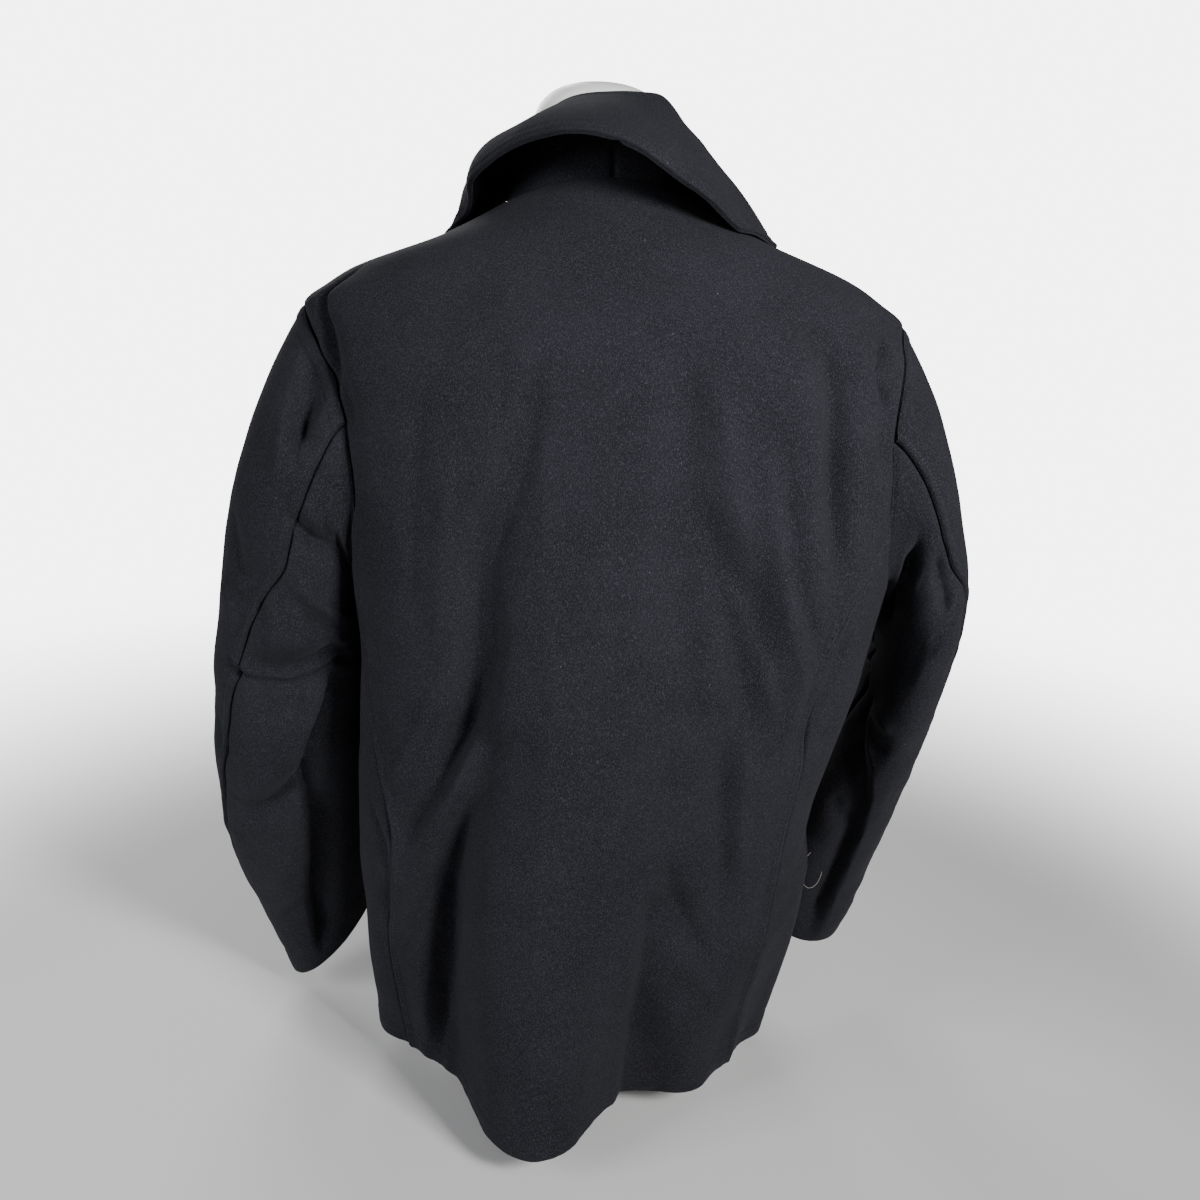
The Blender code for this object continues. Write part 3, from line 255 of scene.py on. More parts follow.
# Back first, then the armholes and sides, then the hidden front.
FINE_BODY_CREASES = rows_of(Crease, (
    (0.012, 0.0034, (
        (10, 0.68), (10.5, 0.573), (10.5, 0.521), (10, 0.435), (9.5, 0.381), (9.5, 0.334), (8.5, 0.262),
        (9, 0.192), (10.5, 0.124), (11, 0.02), (11, -0.12)), 1.3),
    (0.034, -0.009, (
        (13, 0.63), (16.5, 0.575), (21, 0.535), (26, 0.5), (29, 0.465), (30, 0.43), (32, 0.395),
        (34, 0.356), (37, 0.32), (40, 0.28)), 2.0, -1),
    (0.006, -0.003, ((11, 0.61), (12, 0.575), (14.5, 0.535), (19, 0.495), (22.5, 0.46)), 1.6),
    (0.009, -0.0058, (
        (23, 0.43), (24.5, 0.395), (28, 0.356), (31, 0.326), (35, 0.292), (41, 0.256), (48, 0.22),
        (56, 0.19)), 1.8),
    (0.05, -0.0135, (
        (27, 0.37), (28.5, 0.33), (31, 0.29), (35, 0.246), (39, 0.204), (41, 0.162), (44, 0.11), (48, 0.06),
        (50, 0.01)), 2.0, -1),
    (0.006, -0.0018, ((26, 0.272), (29, 0.235), (31.5, 0.195), (33, 0.16), (37, 0.105), (42, 0.05)), 1.6),
    (0.01, -0.005, ((26, 0.288), (31.5, 0.236), (38.5, 0.2), (46.5, 0.152), (54, 0.106)), 1.8),
    (0.005, -0.003, ((20.5, 0.47), (21, 0.44), (21.5, 0.409), (24, 0.372), (28, 0.346), (36, 0.294)), 1.6),
    (0.008, 0.004, ((20, 0.362), (25.5, 0.322), (31, 0.286), (44.5, 0.23), (56, 0.195)), 1.5),
    (0.008, -0.0034, (
        (21, 0.37), (21.5, 0.3), (27, 0.26), (31.5, 0.212), (40, 0.16), (42, 0.082), (44, 0.0),
        (46, -0.08)), 1.5),
    (0.013, -0.006, ((30, 0.235), (36, 0.15), (37, 0.07), (38, -0.06))),
    (0.012, 0.0034, ((-0.5, 0.625), (-0.5, 0.549), (1, 0.483), (3, 0.397), (4, 0.34))),
    (0.009, -0.0066, (
        (-6.5, 0.63), (-5.5, 0.579), (-5, 0.541), (-8, 0.505), (-11, 0.485), (-17, 0.455), (-20, 0.423),
        (-22, 0.38)), 1.7),
    (0.009, -0.005, ((-5, 0.541), (-5, 0.483), (-6, 0.425), (-9, 0.379), (-12.5, 0.33))),
    (0.008, 0.0044, ((-10, 0.62), (-11, 0.56), (-13, 0.515), (-17, 0.485)), 1.7),
    (0.008, 0.0052, (
        (-18, 0.6), (-19, 0.545), (-19.5, 0.511), (-21.5, 0.485), (-27, 0.425), (-33, 0.383),
        (-36, 0.33)), 1.6),
    (0.008, -0.0054, ((-22, 0.56), (-24, 0.513), (-27.5, 0.463), (-34, 0.423), (-40, 0.4)), 1.8),
    (0.008, -0.0052, ((-7, 0.5), (-11, 0.463), (-16, 0.417), (-20, 0.377), (-24, 0.345)), 1.8),
    (0.007, 0.004, ((-14, 0.475), (-19, 0.425), (-24, 0.385), (-29, 0.35)), 1.8),
    (0.009, -0.003, ((-16, 0.35), (-21.5, 0.304), (-24.5, 0.276), (-29.5, 0.218), (-31, 0.17)), 1.6),
    (0.008, 0.0044, ((-20, 0.36), (-26, 0.31), (-30, 0.255), (-35, 0.2)), 1.8),
    (0.008, -0.0044, ((-11, 0.25), (-16, 0.204), (-22, 0.168), (-30, 0.13)), 1.7),
    (0.012, 0.0034, (
        (-3, 0.215), (-6.5, 0.194), (-12.5, 0.166), (-20, 0.142), (-39.5, 0.084), (-50, 0.05)), 1.7),
    (0.03, -0.011, (
        (-6.5, 0.215), (-7.5, 0.186), (-7.5, 0.152), (-8, 0.09), (-10, 0.034), (-11, -0.05)), 2.0, -1),
    (0.006, -0.0095, ((64, 0.69), (65.5, 0.652), (66.5, 0.635), (66, 0.618), (65.5, 0.59)), 1.5),
    (0.01, -0.009, ((-33, 0.66), (-35, 0.617), (-36, 0.59), (-36, 0.53), (-38, 0.495), (-40, 0.455)), 1.7),
    (0.034, -0.012, ((-79, 0.46), (-79, 0.4), (-79, 0.33), (-79, 0.27), (-80, 0.17))),
    (0.007, -0.004, ((-31, 0.65), (-31, 0.6), (-30, 0.56)), 1.8),
    (0.006, -0.008, ((-59, 0.648), (-55, 0.63), (-51, 0.617), (-53.5, 0.608), (-57, 0.592)), 1.6),
    (0.009, -0.002, ((33, 0.6), (35, 0.573), (39, 0.519), (42, 0.465), (44, 0.42))),
    (0.008, 0.0018, ((28, 0.56), (31, 0.5), (34, 0.44), (36, 0.39))),
    (0.009, -0.0022, ((20.5, 0.64), (17, 0.597), (16.5, 0.561), (18, 0.52))),
    (0.007, 0.002, ((33, 0.395), (41, 0.345), (49, 0.3), (57, 0.27))),
    (0.006, -0.0036, ((66, 0.265), (58, 0.225), (55, 0.198), (59, 0.168), (60, 0.13)), 1.5),
    (0.009, -0.003, ((-48, 0.43), (-44, 0.395), (-41, 0.355), (-42, 0.31))),
    (0.012, -0.004, ((118, 0.43), (124, 0.38), (133, 0.33), (144, 0.29)), 1.6),
    (0.01, 0.0034, ((114, 0.4), (121, 0.345), (131, 0.295), (141, 0.265)), 1.6),
    (0.011, -0.0038, ((-116, 0.44), (-123, 0.385), (-132, 0.34), (-143, 0.31)), 1.6),
    (0.01, 0.0034, ((-112, 0.405), (-119, 0.355), (-129, 0.305), (-138, 0.275)), 1.6),
    (0.012, 0.0034, ((128, 0.23), (131, 0.16), (133, 0.08), (134, -0.02)), 1.5),
    (0.012, -0.0038, ((-124, 0.24), (-121, 0.16), (-119, 0.07), (-118, -0.03)), 1.6),
    (0.012, -0.0034, ((112, 0.25), (110, 0.16), (111, 0.06), (112, -0.02)), 1.6),
    (0.01, -0.003, ((-94, 0.36), (-86, 0.31), (-76, 0.275), (-66, 0.25)), 1.6),
    (0.01, 0.0028, ((-98, 0.325), (-90, 0.28), (-80, 0.245), (-70, 0.225)), 1.6),
    (0.01, -0.003, ((98, 0.38), (91, 0.33), (83, 0.29), (75, 0.262)), 1.6),
    (0.01, -0.0034, ((126, 0.61), (131, 0.57), (135, 0.52), (136, 0.465)), 1.6),
    (0.01, -0.0032, ((-126, 0.6), (-131, 0.56), (-134, 0.51), (-134, 0.455)), 1.6),
))
SEAMS = rows_of(SeamRow, (
    (0.000, 62.0, 53.0, 106.0),
    (0.075, 62.0, 49.0, 107.0),
    (0.120, 61.0, 49.5, 107.5),
    (0.165, 57.5, 49.3, 108.0),
    (0.210, 53.0, 49.0, 109.0),
    (0.270, 56.0, 47.5, 110.0),
    (0.310, 63.0, 45.0, 111.0),
    (0.335, 69.0, 42.5, 112.0),
    (0.370, 73.0, 40.5, 112.5),
    (0.430, 74.0, 43.5, 113.0),
    (0.465, 72.0, 51.0, 113.5),
))
LEFT_SLEEVE = rows_of(Section, (
    (0.240, 0.660, 0.205, 0.445, 0.000, 0.078, 0.0, 80.0, 220.0),
    (0.273, 0.601, 0.207, 0.430, 0.002, 0.079, 0.0, 93.0, 218.0),
    (0.298, 0.531, 0.205, 0.410, -0.002, 0.075, 0.0, 94.0, 215.0),
    (0.317, 0.451, 0.203, 0.381, -0.014, 0.069, 0.0, 76.0, 212.0),
    (0.330, 0.351, 0.202, 0.335, -0.020, 0.065, 8.0, 52.0, 208.0),
    (0.339, 0.251, 0.203, 0.270, -0.038, 0.061, 18.0, 38.0, 205.0),
    (0.329, 0.136, 0.206, 0.172, -0.066, 0.055, 22.0, 12.0, 200.0),
    (0.289, -0.003, 0.208, 0.076, -0.098, 0.045, 20.0, 8.0, 200.0),
))
RIGHT_SLEEVE = rows_of(Section, (
    (0.241, 0.660, 0.246, 0.445, 0.000, 0.076, 0.0, 80.0, 220.0),
    (0.276, 0.603, 0.254, 0.433, 0.004, 0.077, 0.0, 83.0, 216.0),
    (0.300, 0.526, 0.254, 0.412, 0.008, 0.073, 0.0, 78.0, 208.0),
    (0.316, 0.456, 0.256, 0.385, 0.008, 0.067, 0.0, 50.0, 202.0),
    (0.314, 0.381, 0.250, 0.342, 0.000, 0.063, 8.0, 34.0, 200.0),
    (0.307, 0.281, 0.230, 0.265, -0.030, 0.058, 18.0, 26.0, 200.0),
    (0.298, 0.166, 0.206, 0.165, -0.074, 0.053, 26.0, 18.0, 200.0),
    (0.281, 0.050, 0.184, 0.072, -0.110, 0.047, 28.0, 12.0, 200.0),
))
# Angle round the sleeve and section. These main folds are in the solids too.
LEFT_CREASES = rows_of(Crease, (
    (0.02, -0.012, ((52, 0.15), (60, 0.48), (67, 0.7), (78, 1.05))),
    (0.03, 0.007, ((75, 3.15), (100, 3.1), (125, 2.9))),
    (0.015, -0.012, ((60, 3.75), (89, 3.68), (107, 3.58), (126, 3.38), (146, 3.08))),
    (0.016, -0.007, ((48, 5.35), (75, 5.22), (95, 5.02), (112, 4.75))),
    (0.014, -0.006, ((140, 0.6), (120, 0.9), (105, 1.1))),
))
RIGHT_CREASES = rows_of(Crease, (
    (0.018, -0.01, ((100, 1.45), (118, 1.15), (140, 1.1), (165, 1.7), (180, 2.7))),
    (0.016, -0.006, ((96, 1.55), (90, 2.2), (86, 2.7))),
    (0.018, -0.007, ((176, 3.9), (160, 4.3), (130, 4.6), (105, 4.75))),
    (0.03, 0.006, ((60, 3.4), (95, 3.35), (130, 3.3))),
))
FINE_LEFT_CREASES = rows_of(Crease, (
    (0.009, -0.006, ((92, 0.9), (101, 0.68), (109.5, 0.44), (117, 0.12), (122, -0.2)), 1.5),
    (0.01, -0.0105, (
        (82, 1.7), (91.5, 1.52), (102.5, 1.46), (115.5, 1.3), (127, 1.08), (139, 0.82), (151, 0.3)), 1.5),
    (0.008, 0.005, ((90, 1.34), (104, 1.14), (118, 0.86), (132, 0.5), (140, 0.2)), 1.6),
    (0.022, 0.004, ((100, 2.2), (122, 2.3), (142, 2.2))),
    (0.0085, -0.018, (
        (46, -0.15), (50, 0.1), (56, 0.38), (64, 0.62), (67, 0.84), (71, 1.0), (77, 1.1), (84, 1.18)), 1.7),
    (0.007, -0.006, ((96, 0.38), (106, 0.2), (114, 0.08), (126, -0.06)), 1.6),
    (0.008, 0.003, ((42, 0.3), (48, 0.6), (56, 0.9), (66, 1.25), (74, 1.6))),
    (0.02, -0.0085, (
        (46, 3.64), (62, 3.76), (78.5, 3.78), (97.7, 3.74), (114.5, 3.64), (130, 3.5), (142, 3.36),
        (152, 3.22)), 2.0, 1),
    (0.016, 0.004, ((58, 3.2), (79.7, 3.3), (99, 3.3), (118.4, 3.18), (137, 3.0), (150, 2.8)), 1.8),
    (0.01, 0.004, ((150, 2.0), (153, 2.4), (148, 2.85), (142.7, 3.2)), 1.4),
    (0.018, -0.005, ((70, 4.02), (95, 4.04), (118, 3.92))),
    (0.028, -0.019, (
        (132, 3.5), (130, 3.75), (121, 4.1), (104, 4.7), (100, 4.95), (103, 5.15), (105, 5.4), (102, 5.8),
        (90, 6.3), (80, 6.9)), 2.0, -1),
    (0.007, -0.007, ((51.5, 5.34), (75, 5.18), (95, 5.02), (113, 4.76)), 1.5),
    (0.008, 0.003, ((50, 5.1), (74, 4.94), (94, 4.78))),
    (0.006, -0.0024, ((60, 6.4), (67, 6.36), (85.5, 6.3), (108, 6.22))),
    (0.008, -0.003, ((99, 0.54), (108, 0.32), (116, 0.16))),
    (0.01, -0.004, ((122, 0.88), (137, 0.66), (160, 0.4), (174, 0.24))),
    (0.01, -0.003, ((30, 2.3), (46, 2.55), (60, 2.95))),
    (0.01, 0.0024, ((25, 3.1), (42, 3.3), (58, 3.45))),
    (0.009, -0.0024, ((20, 4.4), (34, 4.55), (50, 4.75))),
    (0.012, -0.006, ((250, 3.1), (230, 3.35), (205, 3.45), (182, 3.5))),
    (0.012, -0.005, ((262, 3.75), (240, 3.85), (214, 3.95), (190, 4.1))),
    (0.01, 0.004, ((255, 3.45), (232, 3.6), (208, 3.7))),
    (0.011, -0.004, ((300, 0.3), (288, 0.65), (280, 1.05))),
    (0.01, -0.003, ((250, 5.3), (228, 5.15), (208, 5.05))),
    (0.01, -0.003, ((330, 1.6), (310, 2.1), (296, 2.6))),
))
FINE_RIGHT_CREASES = rows_of(Crease, (
    (0.011, -0.011, ((107, 1.32), (131, 0.94), (150, 1.05), (166, 1.42), (182, 2.3)), 1.6),
    (0.011, -0.009, ((110, 1.2), (124, 1.24), (140, 1.34), (158, 1.6))),
    (0.032, 0.01, ((206, 1.5), (212, 2.2), (220, 2.8), (224, 3.4), (220, 4.0), (212, 4.6))),
    (0.046, -0.019, (
        (192, 3.5), (184, 3.86), (167, 4.2), (160, 4.4), (140, 4.62), (118, 4.8), (99, 5.12), (88, 5.48),
        (84, 5.78), (79, 6.26), (76, 6.68), (75, 7.0)), 2.0, -1),
    (0.009, 0.003, ((112, 1.62), (132, 1.32), (150, 1.52), (164, 2.1))),
    (0.007, -0.003, ((100, 1.46), (91, 2.22), (87, 2.75))),
    (0.007, -0.0012, ((184, 4.5), (152, 4.54), (122, 4.6), (100, 4.62))),
    (0.008, 0.003, ((170, 4.2), (146, 4.26), (118, 4.34))),
    (0.008, -0.0026, ((150, 5.3), (124, 5.45), (98, 5.5))),
    (0.008, -0.0026, ((72, 3.02), (92, 2.96), (112, 2.86))),
    (0.008, 0.0024, ((66, 3.3), (88, 3.24), (108, 3.12))),
    (0.008, -0.0022, ((30, 3.6), (50, 3.72), (72, 3.74))),
    (0.01, -0.003, ((52, 0.2), (60, 0.6), (66, 1.0))),
    (0.008, -0.002, ((40, 5.3), (62, 5.22), (84, 5.1))),
    (0.012, -0.006, ((252, 3.0), (232, 3.25), (206, 3.35), (186, 3.4))),
    (0.012, -0.005, ((264, 3.65), (240, 3.8), (216, 3.85), (192, 3.95))),
    (0.01, 0.004, ((256, 3.35), (234, 3.5), (210, 3.6))),
    (0.011, -0.004, ((302, 0.3), (290, 0.65), (282, 1.05))),
    (0.01, -0.003, ((252, 5.2), (230, 5.1), (210, 5.0))),
    (0.01, -0.003, ((328, 1.7), (308, 2.2), (294, 2.7))),
))
COLLAR = rows_of(CollarRow, (
    (-118.0, -0.074, -0.042, 0.751, -0.134, -0.083, 0.697, 0.003),
    (-92.0, -0.077, -0.018, 0.770, -0.139, -0.036, 0.712, 0.000),
    (-66.0, -0.066, 0.020, 0.790, -0.124, 0.028, 0.718, 0.004),
    (-42.0, -0.046, 0.046, 0.807, -0.093, 0.074, 0.728, 0.003),
    (-20.0, -0.024, 0.057, 0.825, -0.052, 0.112, 0.754, 0.004),
    (0.0, 0.004, 0.061, 0.822, 0.004, 0.136, 0.782, 0.005),
    (20.0, 0.029, 0.058, 0.818, 0.038, 0.130, 0.786, 0.005),
    (42.0, 0.050, 0.042, 0.808, 0.075, 0.100, 0.777, 0.006),
    (66.0, 0.065, 0.016, 0.792, 0.105, 0.060, 0.757, 0.011),
    (92.0, 0.074, -0.016, 0.776, 0.113, 0.000, 0.733, 0.015),
    (105.0, 0.076, -0.030, 0.764, 0.136, -0.046, 0.714, 0.004),
    (118.0, 0.076, -0.042, 0.752, 0.140, -0.086, 0.698, 0.003),
))
LEFT_LAPEL = rows_of(LapelRow, (
    (0.00, 0.4580, -0.066, 0.4600),
    (0.20, 0.5150, -0.006, 0.4960),
    (0.40, 0.5720, 0.052, 0.5310),
    (0.60, 0.6280, 0.100, 0.5640),
    (0.80, 0.6850, 0.140, 0.5980),
    (0.93, 0.7220, 0.162, 0.6240),
    (1.00, 0.7405, 0.168, 0.6420),
))
RIGHT_LAPEL = rows_of(LapelRow, (
    (0.00, 0.6180, 0.052, 0.5270),
    (0.25, 0.6490, 0.086, 0.5530),
    (0.50, 0.6800, 0.118, 0.5790),
    (0.75, 0.7110, 0.147, 0.6060),
    (0.90, 0.7290, 0.163, 0.6260),
    (1.00, 0.7405, 0.168, 0.6420),
))


# --- curves and fields
def curve(at: Array, stations: Sequence[float], values: Sequence[float]) -> Array:
    """Reads a smooth curve that never runs past its values.

    Args:
        at: Where to read it, held between the first and last station.
        stations: Rising places of the values.
        values: The curve's value at each station.

    Returns:
        The curve's values, one for each place.
    """
    places = np.asarray(stations, float)
    heights = np.asarray(values, float)
    slopes = np.gradient(heights, places)
    chords = np.diff(heights) / np.diff(places)
    steepest = 3 * np.minimum(np.abs(chords[:-1]), np.abs(chords[1:]))
    rising = chords[:-1] * chords[1:] > 0
    slopes[1:-1] = np.where(rising, np.clip(slopes[1:-1], -steepest, steepest), 0.0)
    at = np.clip(at, places[0], places[-1])
    k = np.clip(np.searchsorted(places, at, side="right") - 1, 0, len(places) - 2)
    span = places[k + 1] - places[k]
    s = (at - places[k]) / span
    start = (1 + 2 * s) * (1 - s) ** 2 * heights[k] + s * (1 - s) ** 2 * span * slopes[k]
    end = s * s * (3 - 2 * s) * heights[k + 1] - s * s * (1 - s) * span * slopes[k + 1]
    return start + end


def columns(table: Sequence[tuple], at: Array, stations: Optional[Sequence[float]] = None) -> tuple:
    """Reads every column of a table at the same places.

    Args:
        table: Rows of one named kind.
        at: Where to read it.
        stations: The rows' places, or None where their first column holds them.

    Returns:
        One row of that kind, which holds arrays.
    """
    kind = type(table[0])
    if stations is None:
        stations = [row[0] for row in table]
    return kind(*(curve(at, stations, [row[i] for row in table]) for i in range(len(kind._fields))))


def smooth(x: Array) -> Array:
    """Soft step from 0 to 1."""
    x = np.clip(x, 0.0, 1.0)
    return x * x * (3 - 2 * x)


def unit(v: Array) -> Array:
    """Vectors of length one."""
    return v / np.maximum(np.linalg.norm(v, axis=-1, keepdims=True), 1e-12)


def stack(x: Array, y: Array, z: Array) -> Array:
    """Points from their three coordinates."""
    return np.stack(np.broadcast_arrays(x, y, z), axis=-1)


def side_name(side: int) -> str:
    """Word for a side of the coat."""
    return "left" if side > 0 else "right"


def soft_noise(points: Array, size: float, seed: int) -> Array:
    """Reads a smooth uneven field, the same one each time.

    Args:
        points: Where to read it.
        size: How far apart its bumps are, in metres.
        seed: Which of many such fields.

    Returns:
        Values from -1 to 1.
    """
    place = points / size + SEED_SHIFT * seed
    cell = np.floor(place).astype(np.int64)
    share = smooth(place - cell)
    total = np.zeros(points.shape[:-1])
    for corner in itertools.product((0, 1), repeat=3):
        c = cell + np.array(corner)
        key = np.bitwise_xor.reduce(c * HASH_PRIMES, axis=-1)
        key = ((np.atleast_1d(key ^ (key >> 13)) & 0xFFFFFFFF) * HASH_SPREAD) & 0x7FFFFFFF
        value = (((key >> 7) & 0xFFFF) / 32767.5 - 1.0).reshape(c.shape[:-1])
        weight = np.prod(np.where(corner, share, 1.0 - share), axis=-1)
        total = total + value * weight
    return total


def crease_rise(creases: Sequence[Crease], angle: Array, height: Array, turn: float, row: float) -> Array:
    """Finds how far soft creases along given paths lift a shell.

    Args:
        creases: The creases.
        angle: Degrees round the shell.
        height: Level or section.
        turn: Cloth for each degree, in metres.
        row: Cloth for each unit of height, in metres.

    Returns:
        The rise in metres, which fades at each crease's ends.
    """
    x, y = np.broadcast_arrays(np.asarray(angle, float) * turn, np.asarray(height, float) * row)
    rise = np.zeros(x.shape)
    for crease in creases:
        path = np.array(crease.path, float) * (turn, row)
        low, high = path.min(axis=0) - 3 * crease.width, path.max(axis=0) + 3 * crease.width
        near = (x > low[0]) & (x < high[0]) & (y > low[1]) & (y < high[1])
        if not near.any():
            continue
        px, py = x[near], y[near]
        lengths = np.linalg.norm(np.diff(path, axis=0), axis=1)
        nearest = np.full(px.shape, np.inf)
        along, turned = np.zeros(px.shape), np.zeros(px.shape)
        for start, end, before in zip(path, path[1:], np.cumsum(lengths) - lengths):
            way = end - start
            share = np.clip(((px - start[0]) * way[0] + (py - start[1]) * way[1]) / (way @ way), 0.0, 1.0)
            away = np.hypot(px - start[0] - share * way[0], py - start[1] - share * way[1])
            along = np.where(away < nearest, (before + share * math.sqrt(way @ way)) / lengths.sum(), along)
            turned = np.where(away < nearest, way[0] * (py - start[1]) - way[1] * (px - start[0]), turned)
            nearest = np.minimum(nearest, away)
        ends = SHARP_FADE if crease.side else CREASE_FADE
        shape = np.exp(-(nearest / crease.width) ** crease.power)
        if crease.side:
            start = smooth(nearest / (SHARP_EDGE * crease.width))
            shape = np.where(turned * crease.side > 0, shape * start, 0.0)
        rise[near] += crease.rise * smooth(along / ends) * smooth((1.0 - along) / ends) * shape
    return rise


def arc(points: Array) -> Array:
    """Distance along each row of points, from its first one."""
    steps = np.linalg.norm(np.diff(points, axis=-2), axis=-1)
    return np.concatenate([np.zeros(steps.shape[:-1] + (1,)), np.cumsum(steps, axis=-1)], axis=-1)


def read_along(at: Array, along: Array, line: Array) -> Array:
    """Reads a line, whose points lie at distances along it, at other distances."""
    return np.stack([np.interp(at, along, line[:, k]) for k in range(3)], axis=1)


def resample(line: Array, step: float) -> Array:
    """Points about a step apart along a line."""
    along = arc(line)
    return read_along(np.linspace(0.0, along[-1], max(2, int(along[-1] / step) + 1)), along, line)


def graded(length: float, low_edge: bool = True, high_edge: bool = True) -> Array:
    """Shares along a length, a cell apart and closer beside the edges that are finished.

    Args:
        length: The length in metres.
        low_edge: Whether the start is such an edge.
        high_edge: Whether the end is one.

    Returns:
        An odd number of rising shares from 0 to 1.
    """
    edge = np.array(EDGE_STEPS)
    start = edge if low_edge else np.array([])
    end = length - edge[::-1] if high_edge else np.array([])
    first = start[-1] if low_edge else 0.0
    last = end[0] if high_edge else length
    count = max(2, round((last - first) / CELL))
    count += (len(start) + len(end) + count) % 2
    inside = np.linspace(first, last, count + 1)
    inside = inside[1 if low_edge else 0:-1 if high_edge else None]
    parts = [np.array([0.0])] * low_edge + [start, inside, end] + [np.array([length])] * high_edge
    return np.concatenate(parts) / length


# --- shells
@dataclass(frozen=True)
class BodyShell:
    """Outer face of the coat's body. Angle 0 is the middle of the back, 90 the left side."""

    rings: tuple[Ring, ...] = RINGS
    flares: tuple[Flare, ...] = FLARES
    creases: tuple[Crease, ...] = BODY_CREASES + FINE_BODY_CREASES
    drape: float = 0.0016
    drape_size: float = 0.055
    rumple: float = 0.0006
    rumple_size: float = 0.021

    def rise(self, angle: Array, level: Array) -> Array:
        """How far flares and creases lift the shell."""
        round_angle = (np.asarray(angle, float) + 180.0) % 360.0 - 180.0
        rise = crease_rise(self.creases, round_angle, level, BODY_TURN, 1.0)
        for flare in self.flares:
            along = np.clip((level - flare.low) / (flare.high - flare.low), 0.0, 1.0)
            middle = flare.low_angle + (flare.high_angle - flare.low_angle) * along
            away = (angle - middle + 180.0) % 360.0 - 180.0
            crest = np.exp(-np.abs(away / flare.width) ** FLARE_FLATNESS)
            rise = rise + flare.rise * (1.0 - along) ** FLARE_GROWTH * crest
        return rise

    def point(self, angle: Array, level: Array) -> Array:
        """Points of the shell.

        Args:
            angle: Degrees round it.
            level: Height from the hem along the shell.

        Returns:
            The points, with heights from the hem.
        """
        angle, level = np.broadcast_arrays(np.asarray(angle, float), np.asarray(level, float))
        row = columns(self.rings, level)
        across = np.sin(np.radians(angle))
        along = np.cos(np.radians(angle))
        power = 2.0 / row.square
        depth = np.where(along > 0, row.back_depth, row.front_depth)
        x = row.half_width * np.sign(across) * np.abs(across) ** power
        y = depth * np.sign(along) * np.abs(along) ** power
        out = unit(stack(x / row.half_width ** 2, y / depth ** 2, np.zeros_like(x)))
        top = np.where(along > 0, row.back_z, row.front_z)
        z = level + (top - level) * along ** 2
        place = stack(x + row.centre_x, y, z)
        free = 1.0 - smooth((level - DRAPE_ENDS) / DRAPE_FADE)
        uneven = (self.drape * soft_noise(place, self.drape_size, 1)
                  + self.rumple * soft_noise(place, self.rumple_size, 2))
        return place + out * (self.rise(angle, level) + uneven * free)[..., None]

    def normal(self, angle: Array, level: Array) -> Array:
        """Direction out of the shell."""
        turn, step = 0.4, 0.0015
        level = np.clip(level, step, NECK_LEVEL - step)
        around = self.point(angle + turn, level) - self.point(angle - turn, level)
        up = self.point(angle, level + step) - self.point(angle, level - step)
        return unit(np.cross(up, around))

    def angle_at(self, x: Array, level: Array) -> Array:
        """Angle past the middle of the front where the shell reaches a distance x across."""
        row = columns(self.rings, level)
        reach = np.clip(np.abs(x) / row.half_width, 0.0, 1.0)
        return np.sign(x) * np.degrees(np.arcsin(reach ** (row.square / 2.0)))


BODY = BodyShell()


def armhole(side: int, turn: Array) -> tuple[Array, Array]:
    """Angle and level of a place on the armhole, turning from the shoulder to the back."""
    turn = np.asarray(turn, float)
    half = (ARMHOLE_TOP - ARMHOLE_BOTTOM) / 2
    level = (ARMHOLE_TOP + ARMHOLE_BOTTOM) / 2 + half * np.cos(np.radians(turn))
    across = np.sin(np.radians(turn))
    back = ARMHOLE_BACK_LEFT if side > 0 else ARMHOLE_BACK_RIGHT
    reach = np.where(across > 0, back[0], ARMHOLE_FRONT[0])
    power = np.where(across > 0, back[1], ARMHOLE_FRONT[1])
    return side * (90.0 - reach * np.sign(across) * np.abs(across) ** power), level


JOIN_LEVEL = float(armhole(1, np.array(JOIN_TURN))[1])


def armhole_turn(level: Array) -> Array:
    """Place on the back half of the armhole at a body level."""
    half = (ARMHOLE_TOP - ARMHOLE_BOTTOM) / 2
    return np.degrees(np.arccos(np.clip((level - ARMHOLE_BOTTOM - half) / half, -1.0, 1.0)))


def side_seam(side: int, level: Array, front: bool) -> Array:
    """Angle of a side panel's seam, from the hem up to the armhole."""
    if front:
        values = [row.front for row in SEAMS]
        end = float(abs(armhole(side, np.array(360 - JOIN_TURN))[0]))
    else:
        values = [row.back_left if side > 0 else row.back_right for row in SEAMS]
        end = float(abs(armhole(side, np.array(JOIN_TURN))[0]))
    return curve(level, [row.level for row in SEAMS] + [JOIN_LEVEL], values + [end])


def panel_edge(side: int, level: Array, front: bool) -> Array:
    """Unsigned angle of a front or back panel's outer edge."""
    turn = armhole_turn(level)
    hole = np.abs(armhole(side, 360 - turn if front else turn)[0])
    edge = np.where(level < JOIN_LEVEL - 1e-6, side_seam(side, level, front), hole)
    return np.where(level >= ARMHOLE_TOP - 1e-6, 90.0, edge)


def roll_x(level: Array) -> Array:
    """How far a roll line is from the middle, on its own side."""
    top = columns(RINGS, np.array(NECK_LEVEL))
    end = top.half_width * math.sin(math.radians(NECK_END)) ** (2.0 / top.square)
    return np.interp(level, (BREAK_LEVEL, NECK_LEVEL), (-OVERLAP, float(end)))


def front_edge(level: Array) -> Array:
    """Unsigned angle of a front's inner edge: the lap below the break, the roll above it."""
    return 180.0 - BODY.angle_at(roll_x(level), level)


